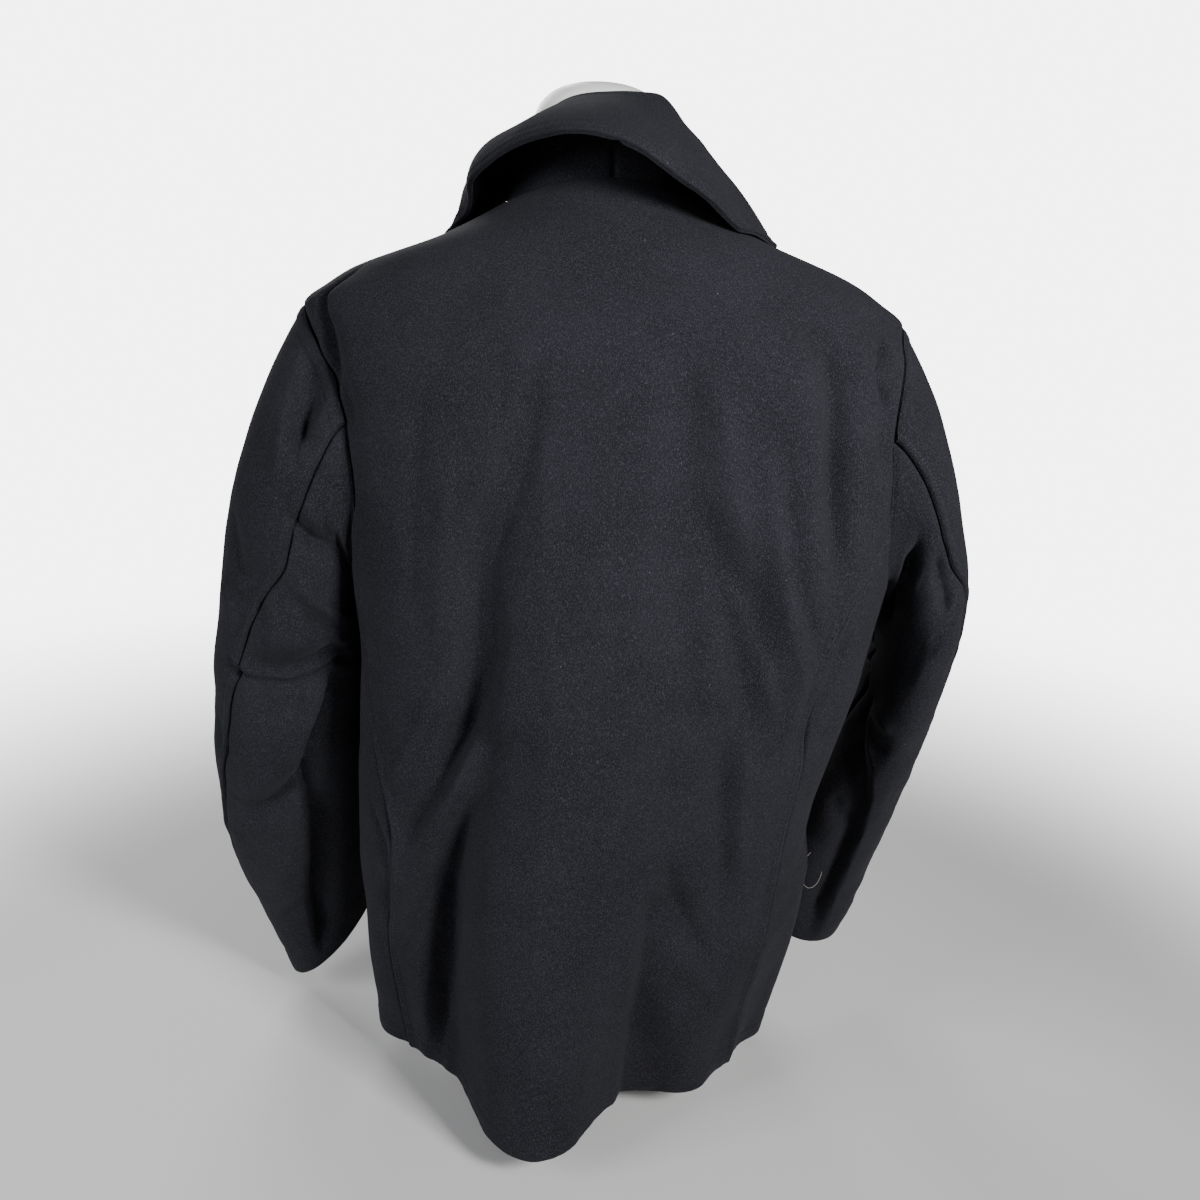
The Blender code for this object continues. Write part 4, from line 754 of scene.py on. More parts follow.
def front_point(side: int, angle: Array, level: Array, lift: Array = 0.0) -> Array:
    """Outer face of a front, lifted along its normal. The angle is unsigned."""
    step = np.zeros(np.broadcast(angle, level).shape)
    if side < 0:
        covered = 360.0 - front_edge(level)
        step = LAP_DEPTH * smooth((np.abs(angle) - (covered - LAP_MARGIN)) / LAP_SLOPE)
    offset = lift - step
    return BODY.point(side * angle, level) + BODY.normal(side * angle, level) * offset[..., None]


@dataclass(frozen=True)
class SleeveShell:
    """Outer face of one sleeve. Sections count from 0, the armhole, to the cuff."""

    side: int
    drape: float = 0.0014
    drape_size: float = 0.045
    rumple: float = 0.0007
    rumple_size: float = 0.018

    @property
    def sections(self) -> tuple[Section, ...]:
        """The sleeve's sections."""
        return LEFT_SLEEVE if self.side > 0 else RIGHT_SLEEVE

    @property
    def creases(self) -> tuple[Crease, ...]:
        """All its creases."""
        if self.side > 0:
            return LEFT_CREASES + FINE_LEFT_CREASES
        return RIGHT_CREASES + FINE_RIGHT_CREASES

    @staticmethod
    def angle(turn: Array, row: Section) -> Array:
        """Angle round a section of a column that starts at a turn on the armhole."""
        turn = np.asarray(turn, float) % 360.0
        under = (turn >= HIND_SEAM) & (turn <= FORE_SEAM)
        share = (turn - HIND_SEAM) / (FORE_SEAM - HIND_SEAM)
        upper_turn = np.where(turn < HIND_SEAM, turn + 360.0, turn)
        upper_share = (upper_turn - FORE_SEAM) / (360.0 + HIND_SEAM - FORE_SEAM)
        lower = row.hind + (row.fore - row.hind) * share
        upper = row.fore + (360.0 + row.hind - row.fore) * upper_share
        return np.where(under, lower, upper)

    def point(self, turn: Array, at: Array) -> Array:
        """Points of the sleeve at turns on the armhole and places along it."""
        turn, at = np.broadcast_arrays(np.asarray(turn, float), np.asarray(at, float))
        table = self.sections
        row = columns(table, at, range(len(table)))
        angle = self.angle(turn, row)
        cos, sin = np.cos(np.radians(angle)), np.sin(np.radians(angle))
        tilt = np.radians(row.tilt)
        middle_x, middle_z = (row.outer_x + row.inner_x) / 2, (row.outer_z + row.inner_z) / 2
        x = middle_x + (row.outer_x - row.inner_x) / 2 * cos
        y = row.centre_y + row.half_depth * np.cos(tilt) * sin
        z = middle_z + (row.outer_z - row.inner_z) / 2 * cos - row.half_depth * np.sin(tilt) * sin
        oval = stack(self.side * x, y, z)
        middle = stack(self.side * middle_x, row.centre_y, middle_z)
        rise = crease_rise(self.creases, angle % 360.0, at, SLEEVE_TURN, SLEEVE_ROW)
        uneven = (self.drape * soft_noise(oval, self.drape_size, 3)
                  + self.rumple * soft_noise(oval, self.rumple_size, 4))
        oval = oval + unit(oval - middle) * (rise + uneven)[..., None]
        start = BODY.point(*armhole(self.side, turn))
        share = (1.0 - (1.0 - np.clip(at / ARMHOLE_BLEND, 0.0, 1.0)) ** 2)[..., None]
        return start + (oval - start) * share

    def normal(self, turn: Array, at: Array) -> Array:
        """Direction out of the sleeve."""
        step, along = 1.5, 0.02
        at = np.clip(at, along, len(self.sections) - 1 - along)
        around = self.point(turn + step, at) - self.point(turn - step, at)
        down = self.point(turn, at + along) - self.point(turn, at - along)
        return unit(np.cross(down, around)) * self.side

    def mitre(self, turn: Array) -> tuple[Array, Array]:
        """Way from the outer to the inner edge of the armhole seam, and from sleeve to body across it.

        Args:
            turn: Places on the armhole.

        Returns:
            Both directions, the first as long as the mitred cloth is thick.
        """
        zero = np.zeros_like(turn)
        point = BODY.point(*armhole(self.side, turn))
        along = unit(BODY.point(*armhole(self.side, turn + 1.0))
                     - BODY.point(*armhole(self.side, turn - 1.0)))
        body = BODY.normal(*armhole(self.side, turn))
        mitre = unit(body + self.normal(turn, zero))
        reach = CLOTH / np.maximum(np.sum(mitre * body, axis=-1), MITRE_LIMIT)
        centre = BODY.point(np.array(self.side * 90.0), np.array((ARMHOLE_TOP + ARMHOLE_BOTTOM) / 2))
        panel = unit(np.cross(body, along))
        panel = panel * np.sign(np.sum(panel * (point - centre), axis=-1, keepdims=True))
        away = panel - unit(self.point(turn, zero + 0.1) - point)
        across = unit(np.cross(along, mitre))
        across = across * np.sign(np.sum(across * away, axis=-1, keepdims=True))
        return -mitre * reach[..., None], across


def lean(inside: Array, mitre: Array, away: Array) -> Array:
    """Bends the way through the cloth towards its mitre, over a short distance away from it."""
    share = smooth(1.0 - away / MITRE_REACH)[..., None]
    return inside * (1.0 - share) + mitre * share


# --- edges and cloth pieces
@dataclass(frozen=True)
class EdgeForm:
    """How the cloth's surface is shaped beside one kind of edge, in metres.

    The edge itself drops and rolls over. Turned cloth under it pads it out as far as it reaches,
    rows of stitches pull it in, and it puckers along its length.
    """

    drop: float
    roll: float
    pad: float = 0.0
    reach: float = 0.0
    stitches: tuple[float, ...] = ()
    pucker: float = 0.0
    pad_slope: float = 0.0030
    pucker_reach: float = 0.016
    pucker_sizes: tuple[float, float] = (0.009, 0.023)

    def relief(self, away: Array, along: Array) -> Array:
        """Lift of the surface at distances from the edge and along it."""
        lift = -self.drop * np.exp(-(away / self.roll) ** 2)
        if self.pad:
            lift = lift + self.pad * (1.0 - smooth((away - self.reach + self.pad_slope / 2) / self.pad_slope))
        for place in self.stitches:
            lift = lift - STITCH_SINK * np.exp(-((away - place) / STITCH_PULL) ** 2)
        place = stack(along, np.zeros_like(along), np.zeros_like(along))
        short, long = self.pucker_sizes
        ripple = soft_noise(place, short, 5) + 0.6 * soft_noise(place, long, 6)
        return lift + self.pucker * ripple * np.exp(-(away / self.pucker_reach) ** 2)


class Edge(Enum):
    """Kinds of edges that cloth pieces have."""

    SEAM = EdgeForm(0.0020, 0.0027, pucker=0.0005)
    SLEEVE_HEAD = EdgeForm(0.0010, 0.0022, 0.0010, 0.010, pucker=0.0008)
    LAPPED = EdgeForm(0.0029, 0.0014, 0.0019, 0.0082, (0.0066,), 0.0005)
    UNDER_LAP = EdgeForm(0.0029, 0.0016, pucker=0.0005)
    HEM = EdgeForm(0.0016, 0.0014, 0.0007, 0.0235, (0.0205,), 0.0008)
    CUFF = EdgeForm(0.0016, 0.0014, 0.0005, 0.0300, pucker=0.0006)
    TURNED = EdgeForm(0.0012, 0.0013, 0.0005, 0.0100, (0.0075,), 0.0004)
    LEAF = EdgeForm(0.0009, 0.0012, 0.0006, 0.0110, (0.0030, 0.0088), 0.0004)
    FREE = EdgeForm(0.0010, 0.0012)
    NECK = EdgeForm(0.0003, 0.0015)


class Border(NamedTuple):
    """Part of one side of a grid and the edge it is."""

    side: str
    kind: Edge
    start: int = 0
    stop: Optional[int] = None


ALL = slice(None)
BORDER_SIDES = {"left": (ALL, 0), "right": (ALL, -1), "low": (0, ALL), "high": (-1, ALL)}
BORDER_INSIDES = {"left": (ALL, 1), "right": (ALL, -2), "low": (1, ALL), "high": (-2, ALL)}


def edge_field(points: Array, line: Array) -> tuple[Array, Array]:
    """Measures a grid from a line.

    Args:
        points: Points of the grid.
        line: Points of the line.

    Returns:
        Each point's distance from the line, and how far along the line it is nearest.
    """
    fine = resample(line, LINE_STEP)
    tree = KDTree(len(fine))
    for number, place in enumerate(fine.tolist()):
        tree.insert(place, number)
    tree.balance()
    found = [tree.find(place) for place in points.reshape(-1, 3).tolist()]
    away = np.array([distance for _, _, distance in found])
    along = np.array([number for _, number, _ in found]) * LINE_STEP
    return away.reshape(points.shape[:-1]), along.reshape(points.shape[:-1])


def deselect() -> None:
    """Leaves nothing selected, in object mode."""
    if bpy.context.object and bpy.context.object.mode != "OBJECT":
        bpy.ops.object.mode_set(mode="OBJECT")
    bpy.ops.object.select_all(action="DESELECT")


def select(*things: Thing) -> None:
    """Selects some objects and no others, and makes the first one active."""
    deselect()
    for thing in things:
        thing.select_set(True)
    bpy.context.view_layer.objects.active = things[0]


def add_object(name: str, data: bpy.types.ID) -> Thing:
    """Puts a new object of given data in the scene."""
    thing = bpy.data.objects.new(name, data)
    bpy.context.scene.collection.objects.link(thing)
    return thing


def make_mesh(name: str, points: Array, faces: list, smooth_angle: float = 50.0) -> Thing:
    """Makes an object of given points and faces, standing as the form does.

    Args:
        name: The piece's name.
        points: Points with heights from the hem.
        faces: Tuples of point numbers, all turned outwards.
        smooth_angle: Edges sharper than this stay sharp, in degrees.

    Returns:
        The object, at the origin.
    """
    mesh = bpy.data.meshes.new(name)
    mesh.from_pydata((points + (0.0, 0.0, HEM_CLEARANCE)).tolist(), [], faces)
    mesh.shade_smooth()
    mesh.set_sharp_from_angle(angle=math.radians(smooth_angle))
    return add_object(name, mesh)


@dataclass
class ClothPiece:
    """One cut piece of cloth: a thin closed shell on a grid of surface points.

    Its inside gives the way from each outer point to the inner face. The normal is used where
    there is none.
    """

    name: str
    nodes: tuple[str, ...]
    outer: Array
    normal: Array
    thickness: float = CLOTH
    gap: float = SEAM_GAP
    borders: tuple[Border, ...] = ()
    drawn_back: tuple[str, ...] = ()
    inside: Optional[Array] = None
    held: str = "hung"
    rests_on: tuple[str, ...] = ("torso_form",)
    inner: Optional[Array] = None
    lines: list[tuple[Array, Array]] = field(default_factory=list)
    blur_rounds: int = 6
    fullest_cut: float = 0.98

    def finish_edges(self) -> None:
        """Draws seam edges back, shapes the surface beside every edge and finds the stitch lines."""
        if self.inside is None:
            self.inside = -self.normal * self.thickness
        drawn = self.outer.copy()
        for side in self.drawn_back:
            edge = self.outer[BORDER_SIDES[side]]
            along = unit(np.gradient(edge, axis=0))
            step = self.outer[BORDER_INSIDES[side]] - edge
            step = step - along * np.sum(step * along, axis=-1, keepdims=True)
            drawn[BORDER_SIDES[side]] += unit(step) * self.gap / 2
        lift = np.zeros(self.outer.shape[:2])
        found = []
        for border in self.borders:
            line = self.outer[BORDER_SIDES[border.side]][border.start:border.stop]
            away, along = edge_field(self.outer, line)
            lift = lift + border.kind.value.relief(away, along)
            found += [(border, away, place) for place in border.kind.value.stitches]
        self.inner = drawn + self.inside
        self.outer = drawn + self.normal * lift[..., None]
        self.lines = [self.contour(*item) for item in found]

    def contour(self, border: Border, away: Array, place: float) -> tuple[Array, Array]:
        """Finds the line on the surface at a distance from a border.

        Args:
            border: The border.
            away: Every grid point's distance from it.
            place: The distance wanted.

        Returns:
            Points of the line and directions out of the cloth there.
        """
        outer, normal = self.outer, self.normal
        if border.side in ("low", "high"):
            outer, normal, away = outer.swapaxes(0, 1), normal.swapaxes(0, 1), away.T
        if border.side in ("right", "high"):
            outer, normal, away = outer[:, ::-1], normal[:, ::-1], away[:, ::-1]
        rows = slice(border.start, border.stop)
        outer, normal, away = outer[rows], normal[rows], away[rows]
        past = np.argmax(away >= place, axis=1)
        usable = (past > 0) & (past < away.shape[1] - 1)
        row = np.nonzero(usable)[0]
        k = past[row]
        share = ((place - away[row, k - 1]) / (away[row, k] - away[row, k - 1]))[:, None]
        points = outer[row, k - 1] + (outer[row, k] - outer[row, k - 1]) * share
        return points, normal[row, k]

    def crests(self) -> Array:
        """How far each point of the cloth stands out from what is round it, from -1 to 1."""
        blur = self.outer.copy()
        for axis in (0, 1):
            for _ in range(self.blur_rounds):
                before, after = np.roll(blur, 1, axis), np.roll(blur, -1, axis)
                keep = [ALL] * 3
                keep[axis] = slice(1, -1)
                blur[tuple(keep)] = ((before + 2 * blur + after) / 4)[tuple(keep)]
        return np.clip(np.sum((self.outer - blur) * self.normal, axis=-1) / CREST_HEIGHT, -1.0, 1.0)

    def face_normals(self) -> Array:
        """Cross product of each cell's sides, as long as the cell is large."""
        a = self.outer[:-1, 1:] - self.outer[:-1, :-1]
        b = self.outer[1:, :-1] - self.outer[:-1, :-1]
        return np.cross(a, b)

    def shell(self) -> tuple[Array, list, Array]:
        """Closes the piece with a coarser inner grid and rims.

        Returns:
            The points, the faces turned outwards, and each point's crest value, which lightens crests as
            abraded cloth and darkens troughs and creases as painted shade.
        """
        rows, count = self.outer.shape[:2]
        inner = self.inner[::2, ::2]
        out = np.arange(rows * count).reshape(rows, count)
        inn = rows * count + np.arange(inner.shape[0] * inner.shape[1]).reshape(inner.shape[:2])
        cells = [np.stack([out[:-1, :-1], out[:-1, 1:], out[1:, 1:], out[1:, :-1]], -1),
                 np.stack([inn[:-1, :-1], inn[1:, :-1], inn[1:, 1:], inn[:-1, 1:]], -1)]
        faces = [face for cell in cells for face in cell.reshape(-1, 4).tolist()]
        for o, i, turned in ((out[0], inn[0], False), (out[-1], inn[-1], True),
                             (out[:, 0], inn[:, 0], True), (out[:, -1], inn[:, -1], False)):
            rim = np.stack([o[:-2:2], i[:-1], i[1:], o[2::2], o[1:-1:2]], -1)
            faces += (rim[:, ::-1] if turned else rim).tolist()
        if np.sum(self.face_normals() * self.normal[:-1, :-1]) < 0:
            faces = [face[::-1] for face in faces]
        points = np.concatenate([self.outer.reshape(-1, 3), inner.reshape(-1, 3)])
        # Crest values: paler crests as abraded cloth, darker troughs and creases as painted shade.
        crest_wear_and_shade = np.concatenate([self.crests().ravel(), np.zeros(inner.shape[0] * inner.shape[1])])
        return points, faces, crest_wear_and_shade

    def build(self, finish: Material, stitching: Sequence[Thing] = ()) -> None:
        """Makes the piece in place of its solids and logs its cut.

        Args:
            finish: The cloth's material.
            stitching: Pieces sewn on it. Not used.
        """
        across = float(arc(self.outer).max(axis=0)[-1])
        along = float(arc(self.outer.swapaxes(0, 1))[:, -1].max())
        points, faces, crest_wear_and_shade = self.shell()
        thing = make_mesh(self.name, points, faces)
        # Crest value of each point: it lightens crests as abraded cloth and darkens troughs and creases as
        # painted shade.
        worn_and_shaded = thing.data.attributes.new("crest_wear_and_shade", "FLOAT", "POINT")
        worn_and_shaded.data.foreach_set("value", crest_wear_and_shade.astype(np.float32))
        thing.data.materials.append(finish)
        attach(thing, "root")
        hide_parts(*self.nodes)
        flat = (round(across, 3), round(along, 3))
        list(self.rests_on)
        list(stitching)
        LOG.info("%s: cut %.3f by %.3f m, %d faces", self.name, *flat, len(faces))


# --- finishes
class Graph:
    """Small helper that adds and joins a material's nodes."""

    def __init__(self, name: str) -> None:
        """Starts a material with one shader."""
        self.material = bpy.data.materials.new(name)
        self.material.use_nodes = True
        self.tree = self.material.node_tree
        self.shader = self.tree.nodes["Principled BSDF"]
        self.place = self.add("ShaderNodeTexCoord").outputs["Object"]

    def add(self, kind: str, **settings: object) -> bpy.types.Node:
        """Adds a node and sets its own properties."""
        node = self.tree.nodes.new(kind)
        for key, value in settings.items():
            setattr(node, key, value)
        return node

    def join(self, source: object, socket: Socket) -> None:
        """Joins an output, or sets a plain value."""
        if isinstance(source, Socket):
            self.tree.links.new(source, socket)
        else:
            socket.default_value = source

    def noise(self, scale: float, detail: float = 2.0, roughness: float = 0.5,
              stretch: Colour = (1.0, 1.0, 1.0)) -> Socket:
        """Noise on the object's own coordinates, drawn out where a share of the stretch is small."""
        drawn = self.add("ShaderNodeVectorMath", operation="MULTIPLY")
        self.join(self.place, drawn.inputs[0])
        self.join(stretch, drawn.inputs[1])
        node = self.add("ShaderNodeTexNoise")
        self.join(drawn.outputs[0], node.inputs["Vector"])
        node.inputs["Scale"].default_value = scale
        node.inputs["Detail"].default_value = detail
        node.inputs["Roughness"].default_value = roughness
        return node.outputs["Fac"]

    def math(self, operation: str, a: object, b: object = 0.0, clamp: bool = False) -> Socket:
        """One sum of two values."""
        node = self.add("ShaderNodeMath", operation=operation, use_clamp=clamp)
        self.join(a, node.inputs[0])
        self.join(b, node.inputs[1])
        return node.outputs[0]

    def ramp(self, value: object, low: float, high: float, start: float = 0.0, end: float = 1.0) -> Socket:
        """A value carried from one range to another, and held there."""
        node = self.add("ShaderNodeMapRange", interpolation_type="SMOOTHSTEP")
        self.join(value, node.inputs["Value"])
        for socket, number in (("From Min", low), ("From Max", high), ("To Min", start), ("To Max", end)):
            node.inputs[socket].default_value = number
        return node.outputs["Result"]

    def mix(self, share: object, a: object, b: object) -> Socket:
        """Two colours mixed."""
        node = self.add("ShaderNodeMix", data_type="RGBA")
        self.join(share, node.inputs["Factor"])
        for colour, socket in ((a, node.inputs[6]), (b, node.inputs[7])):
            self.join((*colour, 1.0) if isinstance(colour, tuple) else colour, socket)
        return node.outputs[2]

    def bump(self, height: object, strength: float, distance: float, under: object = None) -> Socket:
        """Relief from a height, over another relief if there is one."""
        node = self.add("ShaderNodeBump")
        self.join(height, node.inputs["Height"])
        node.inputs["Strength"].default_value = strength
        node.inputs["Distance"].default_value = distance
        if under is not None:
            self.join(under, node.inputs["Normal"])
        return node.outputs["Normal"]

    def finish(self, **sources: object) -> Material:
        """Joins or sets the shader's sockets, with underlines for spaces in their names."""
        for name, source in sources.items():
            self.join(source, self.shader.inputs[name.replace("_", " ")])
        return self.material


@dataclass(frozen=True)
class MeltonWool:
    """Felted navy wool: a short uneven nap, pale hairs in it, a little lint, crests lightened as abraded
    cloth, and troughs and creases darkened as painted shade.
    """

    name: str = "melton_wool"
    deep: Colour = (0.0058, 0.0060, 0.0080)
    cloth: Colour = (0.0146, 0.0149, 0.0190)
    hair: Colour = (0.0390, 0.0398, 0.0500)
    lint: Colour = (0.20, 0.20, 0.20)
    nap_scale: float = 1000.0
    hair_scale: float = 1700.0
    hair_stretch: Colour = (1.0, 1.0, 0.38)
    hair_share: float = 0.8
    cloud_scale: float = 14.0
    cloud_depth: float = 0.16
    # How far crests lighten as abraded cloth and troughs and creases darken as painted shade.
    wear_and_shade_depth: float = 0.12
    lint_scale: float = 95.0
    lint_chance: float = 0.14
    lint_size: tuple[float, float] = (0.022, 0.060)
    lint_strength: float = 0.40
    felt_scale: float = 170.0
    relief: float = 0.0006
    sheen: float = 0.03

    def specks(self, g: Graph) -> Socket:
        """Where the lint lies: a dot in a few cells of a scattered pattern."""
        speck = g.add("ShaderNodeTexVoronoi", feature="F1")
        g.join(g.place, speck.inputs["Vector"])
        speck.inputs["Scale"].default_value = self.lint_scale
        chance = g.add("ShaderNodeSeparateColor")
        g.join(speck.outputs["Color"], chance.inputs[0])
        picked = g.math("LESS_THAN", chance.outputs[0], self.lint_chance)
        dot = g.ramp(speck.outputs["Distance"], *self.lint_size, 1.0, 0.0)
        return g.math("MULTIPLY", g.math("MULTIPLY", picked, dot), self.lint_strength)

    def material(self) -> Material:
        """Makes the wool."""
        g = Graph(self.name)
        nap = g.noise(self.nap_scale, 3.0, 0.65)
        hair = g.noise(self.hair_scale, 1.0, 0.5, self.hair_stretch)
        cloud = g.noise(self.cloud_scale, 4.0, 0.55)
        worn_and_shaded = g.add("ShaderNodeAttribute", attribute_name="crest_wear_and_shade").outputs["Fac"]
        clouds = g.ramp(cloud, 0.35, 0.65, -self.cloud_depth, self.cloud_depth)
        tone = g.math("ADD", g.ramp(nap, 0.30, 0.72), clouds)
        # Paler on crests, as abraded cloth; darker in troughs and creases, which is painted shade.
        tone = g.math("ADD", tone, g.math("MULTIPLY", worn_and_shaded, self.wear_and_shade_depth), clamp=True)
        colour = g.mix(tone, self.deep, self.cloth)
        colour = g.mix(g.ramp(hair, 0.45, 0.80, 0.0, self.hair_share), colour, self.hair)
        colour = g.mix(self.specks(g), colour, self.lint)
        felt = g.bump(g.noise(self.felt_scale, 3.0, 0.6), 0.35, self.relief)
        fuzz = g.bump(g.math("ADD", nap, hair), 0.55, self.relief, felt)
        return g.finish(Base_Color=colour, Normal=fuzz, Roughness=0.95, Specular_IOR_Level=0.12,
                        Sheen_Weight=self.sheen, Sheen_Roughness=0.45, Sheen_Tint=(0.62, 0.64, 0.70, 1.0))


@dataclass(frozen=True)
class SewingThread:
    """Waxed dark thread, or undyed thread."""

    name: str
    colour: Colour

    def material(self) -> Material:
        """Makes the thread."""
        g = Graph(self.name)
        twist = g.noise(1500.0, 2.0, 0.5)
        darker = tuple(0.6 * part for part in self.colour)
        return g.finish(Base_Color=g.mix(g.ramp(twist, 0.35, 0.65), darker, self.colour),
                        Normal=g.bump(twist, 0.5, 0.0002), Roughness=0.62)


@dataclass(frozen=True)
class ButtonPlastic:
    """Dark moulded plastic, scuffed a little dull, with faint marbling."""

    name: str = "dark_button_plastic"
    dark: Colour = (0.006, 0.006, 0.007)
    pale: Colour = (0.022, 0.021, 0.023)

    def material(self) -> Material:
        """Makes the plastic."""
        g = Graph(self.name)
        marbling, scuffs = g.noise(160.0, 5.0, 0.6), g.noise(700.0, 3.0, 0.7)
        return g.finish(Base_Color=g.mix(g.ramp(marbling, 0.40, 0.68), self.dark, self.pale),
                        Roughness=g.ramp(scuffs, 0.30, 0.75, 0.24, 0.42), Normal=g.bump(scuffs, 0.15, 0.0002))


@dataclass(frozen=True)
class FormShell:
    """White lacquered shell of the torso form, with a faint orange-peel surface."""

    name: str = "white_form_lacquer"
    white: Colour = (0.84, 0.84, 0.83)
    soiled: Colour = (0.76, 0.755, 0.74)

    def material(self) -> Material:
        """Makes the lacquer."""
        g = Graph(self.name)
        stain = g.noise(11.0, 5.0, 0.6)
        return g.finish(Base_Color=g.mix(g.ramp(stain, 0.50, 0.78), self.white, self.soiled),
                        Roughness=g.ramp(g.noise(60.0, 3.0, 0.6), 0.3, 0.7, 0.30, 0.42),
                        Normal=g.bump(g.noise(420.0, 2.0, 0.5), 0.08, 0.0005))


@dataclass(frozen=True)
class Finishes:
    """The coat's finishes, made once."""

    wool: Material
    thread: Material
    loose_thread: Material
    plastic: Material
    form: Material

    @classmethod
    def make(cls) -> "Finishes":
        """Makes every material."""
        return cls(wool=MeltonWool().material(),
                   thread=SewingThread("navy_thread", (0.0075, 0.0075, 0.0100)).material(),
                   loose_thread=SewingThread("undyed_thread", (0.52, 0.50, 0.47)).material(),
                   plastic=ButtonPlastic().material(),
                   form=FormShell().material())


# --- stitching
@dataclass
class Stitching:
    """Rows of single stitches sunk into the cloth, joined as one piece."""

    name: str
    length: float = 0.0024
    pitch: float = 0.0034
    radius: float = 0.00028
    lift: float = 0.6
    flatness: float = 1.3

    def stitches(self, line: Array, normals: Array) -> Array:
        """Lays stitches along one line.

        Args:
            line: Its points.
            normals: Directions out of the cloth there.

        Returns:
            Six points for each stitch: its start, a ring of four round its middle, and its end.
        """
        along = arc(line)
        middles = np.arange(self.pitch, along[-1] - self.pitch, self.pitch)
        out = unit(read_along(middles, along, normals))
        start = read_along(middles - self.length / 2, along, line)
        end = read_along(middles + self.length / 2, along, line)
        beside = unit(np.cross(end - start, out))
        thick, wide = out * self.radius, beside * self.radius * self.flatness
        centre = (start + end) / 2 + thick * self.lift
        ring = (centre + thick, centre + wide, centre - thick, centre - wide)
        return np.stack([start - thick, *ring, end - thick], axis=1).reshape(-1, 3)

    def build(self, lines: Sequence[tuple[Array, Array]], finish: Material) -> Optional[Thing]:
        """Lays stitches along lines.

        Args:
            lines: Points of each line, and directions out of the cloth there.
            finish: The thread's material.

        Returns:
            The piece, or None where no line is long enough.
        """
        rows = [self.stitches(line, normals) for line, normals in lines if len(line) >= 3]
        if not rows:
            return None
        points = np.concatenate(rows)
        faces = []
        for first in range(0, len(points), 6):
            for m in range(4):
                n = (m + 1) % 4
                faces.append((first, first + 1 + n, first + 1 + m))
                faces.append((first + 5, first + 1 + m, first + 1 + n))
        thing = make_mesh(self.name, points, faces, 80.0)
        thing.data.materials.append(finish)
        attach(thing, "root")
        LOG.info("%s: %d stitches", self.name, len(faces) // 8)
        return thing


def sew(pieces: Sequence[ClothPiece], finishes: Finishes) -> None:
    """Finishes the edges of pieces of cloth, and makes each one with its stitching."""
    for piece in pieces:
        piece.finish_edges()
        sewn = Stitching(f"{piece.name}_stitching").build(piece.lines, finishes.thread)
        piece.build(finishes.wool, [sewn] if sewn else [])


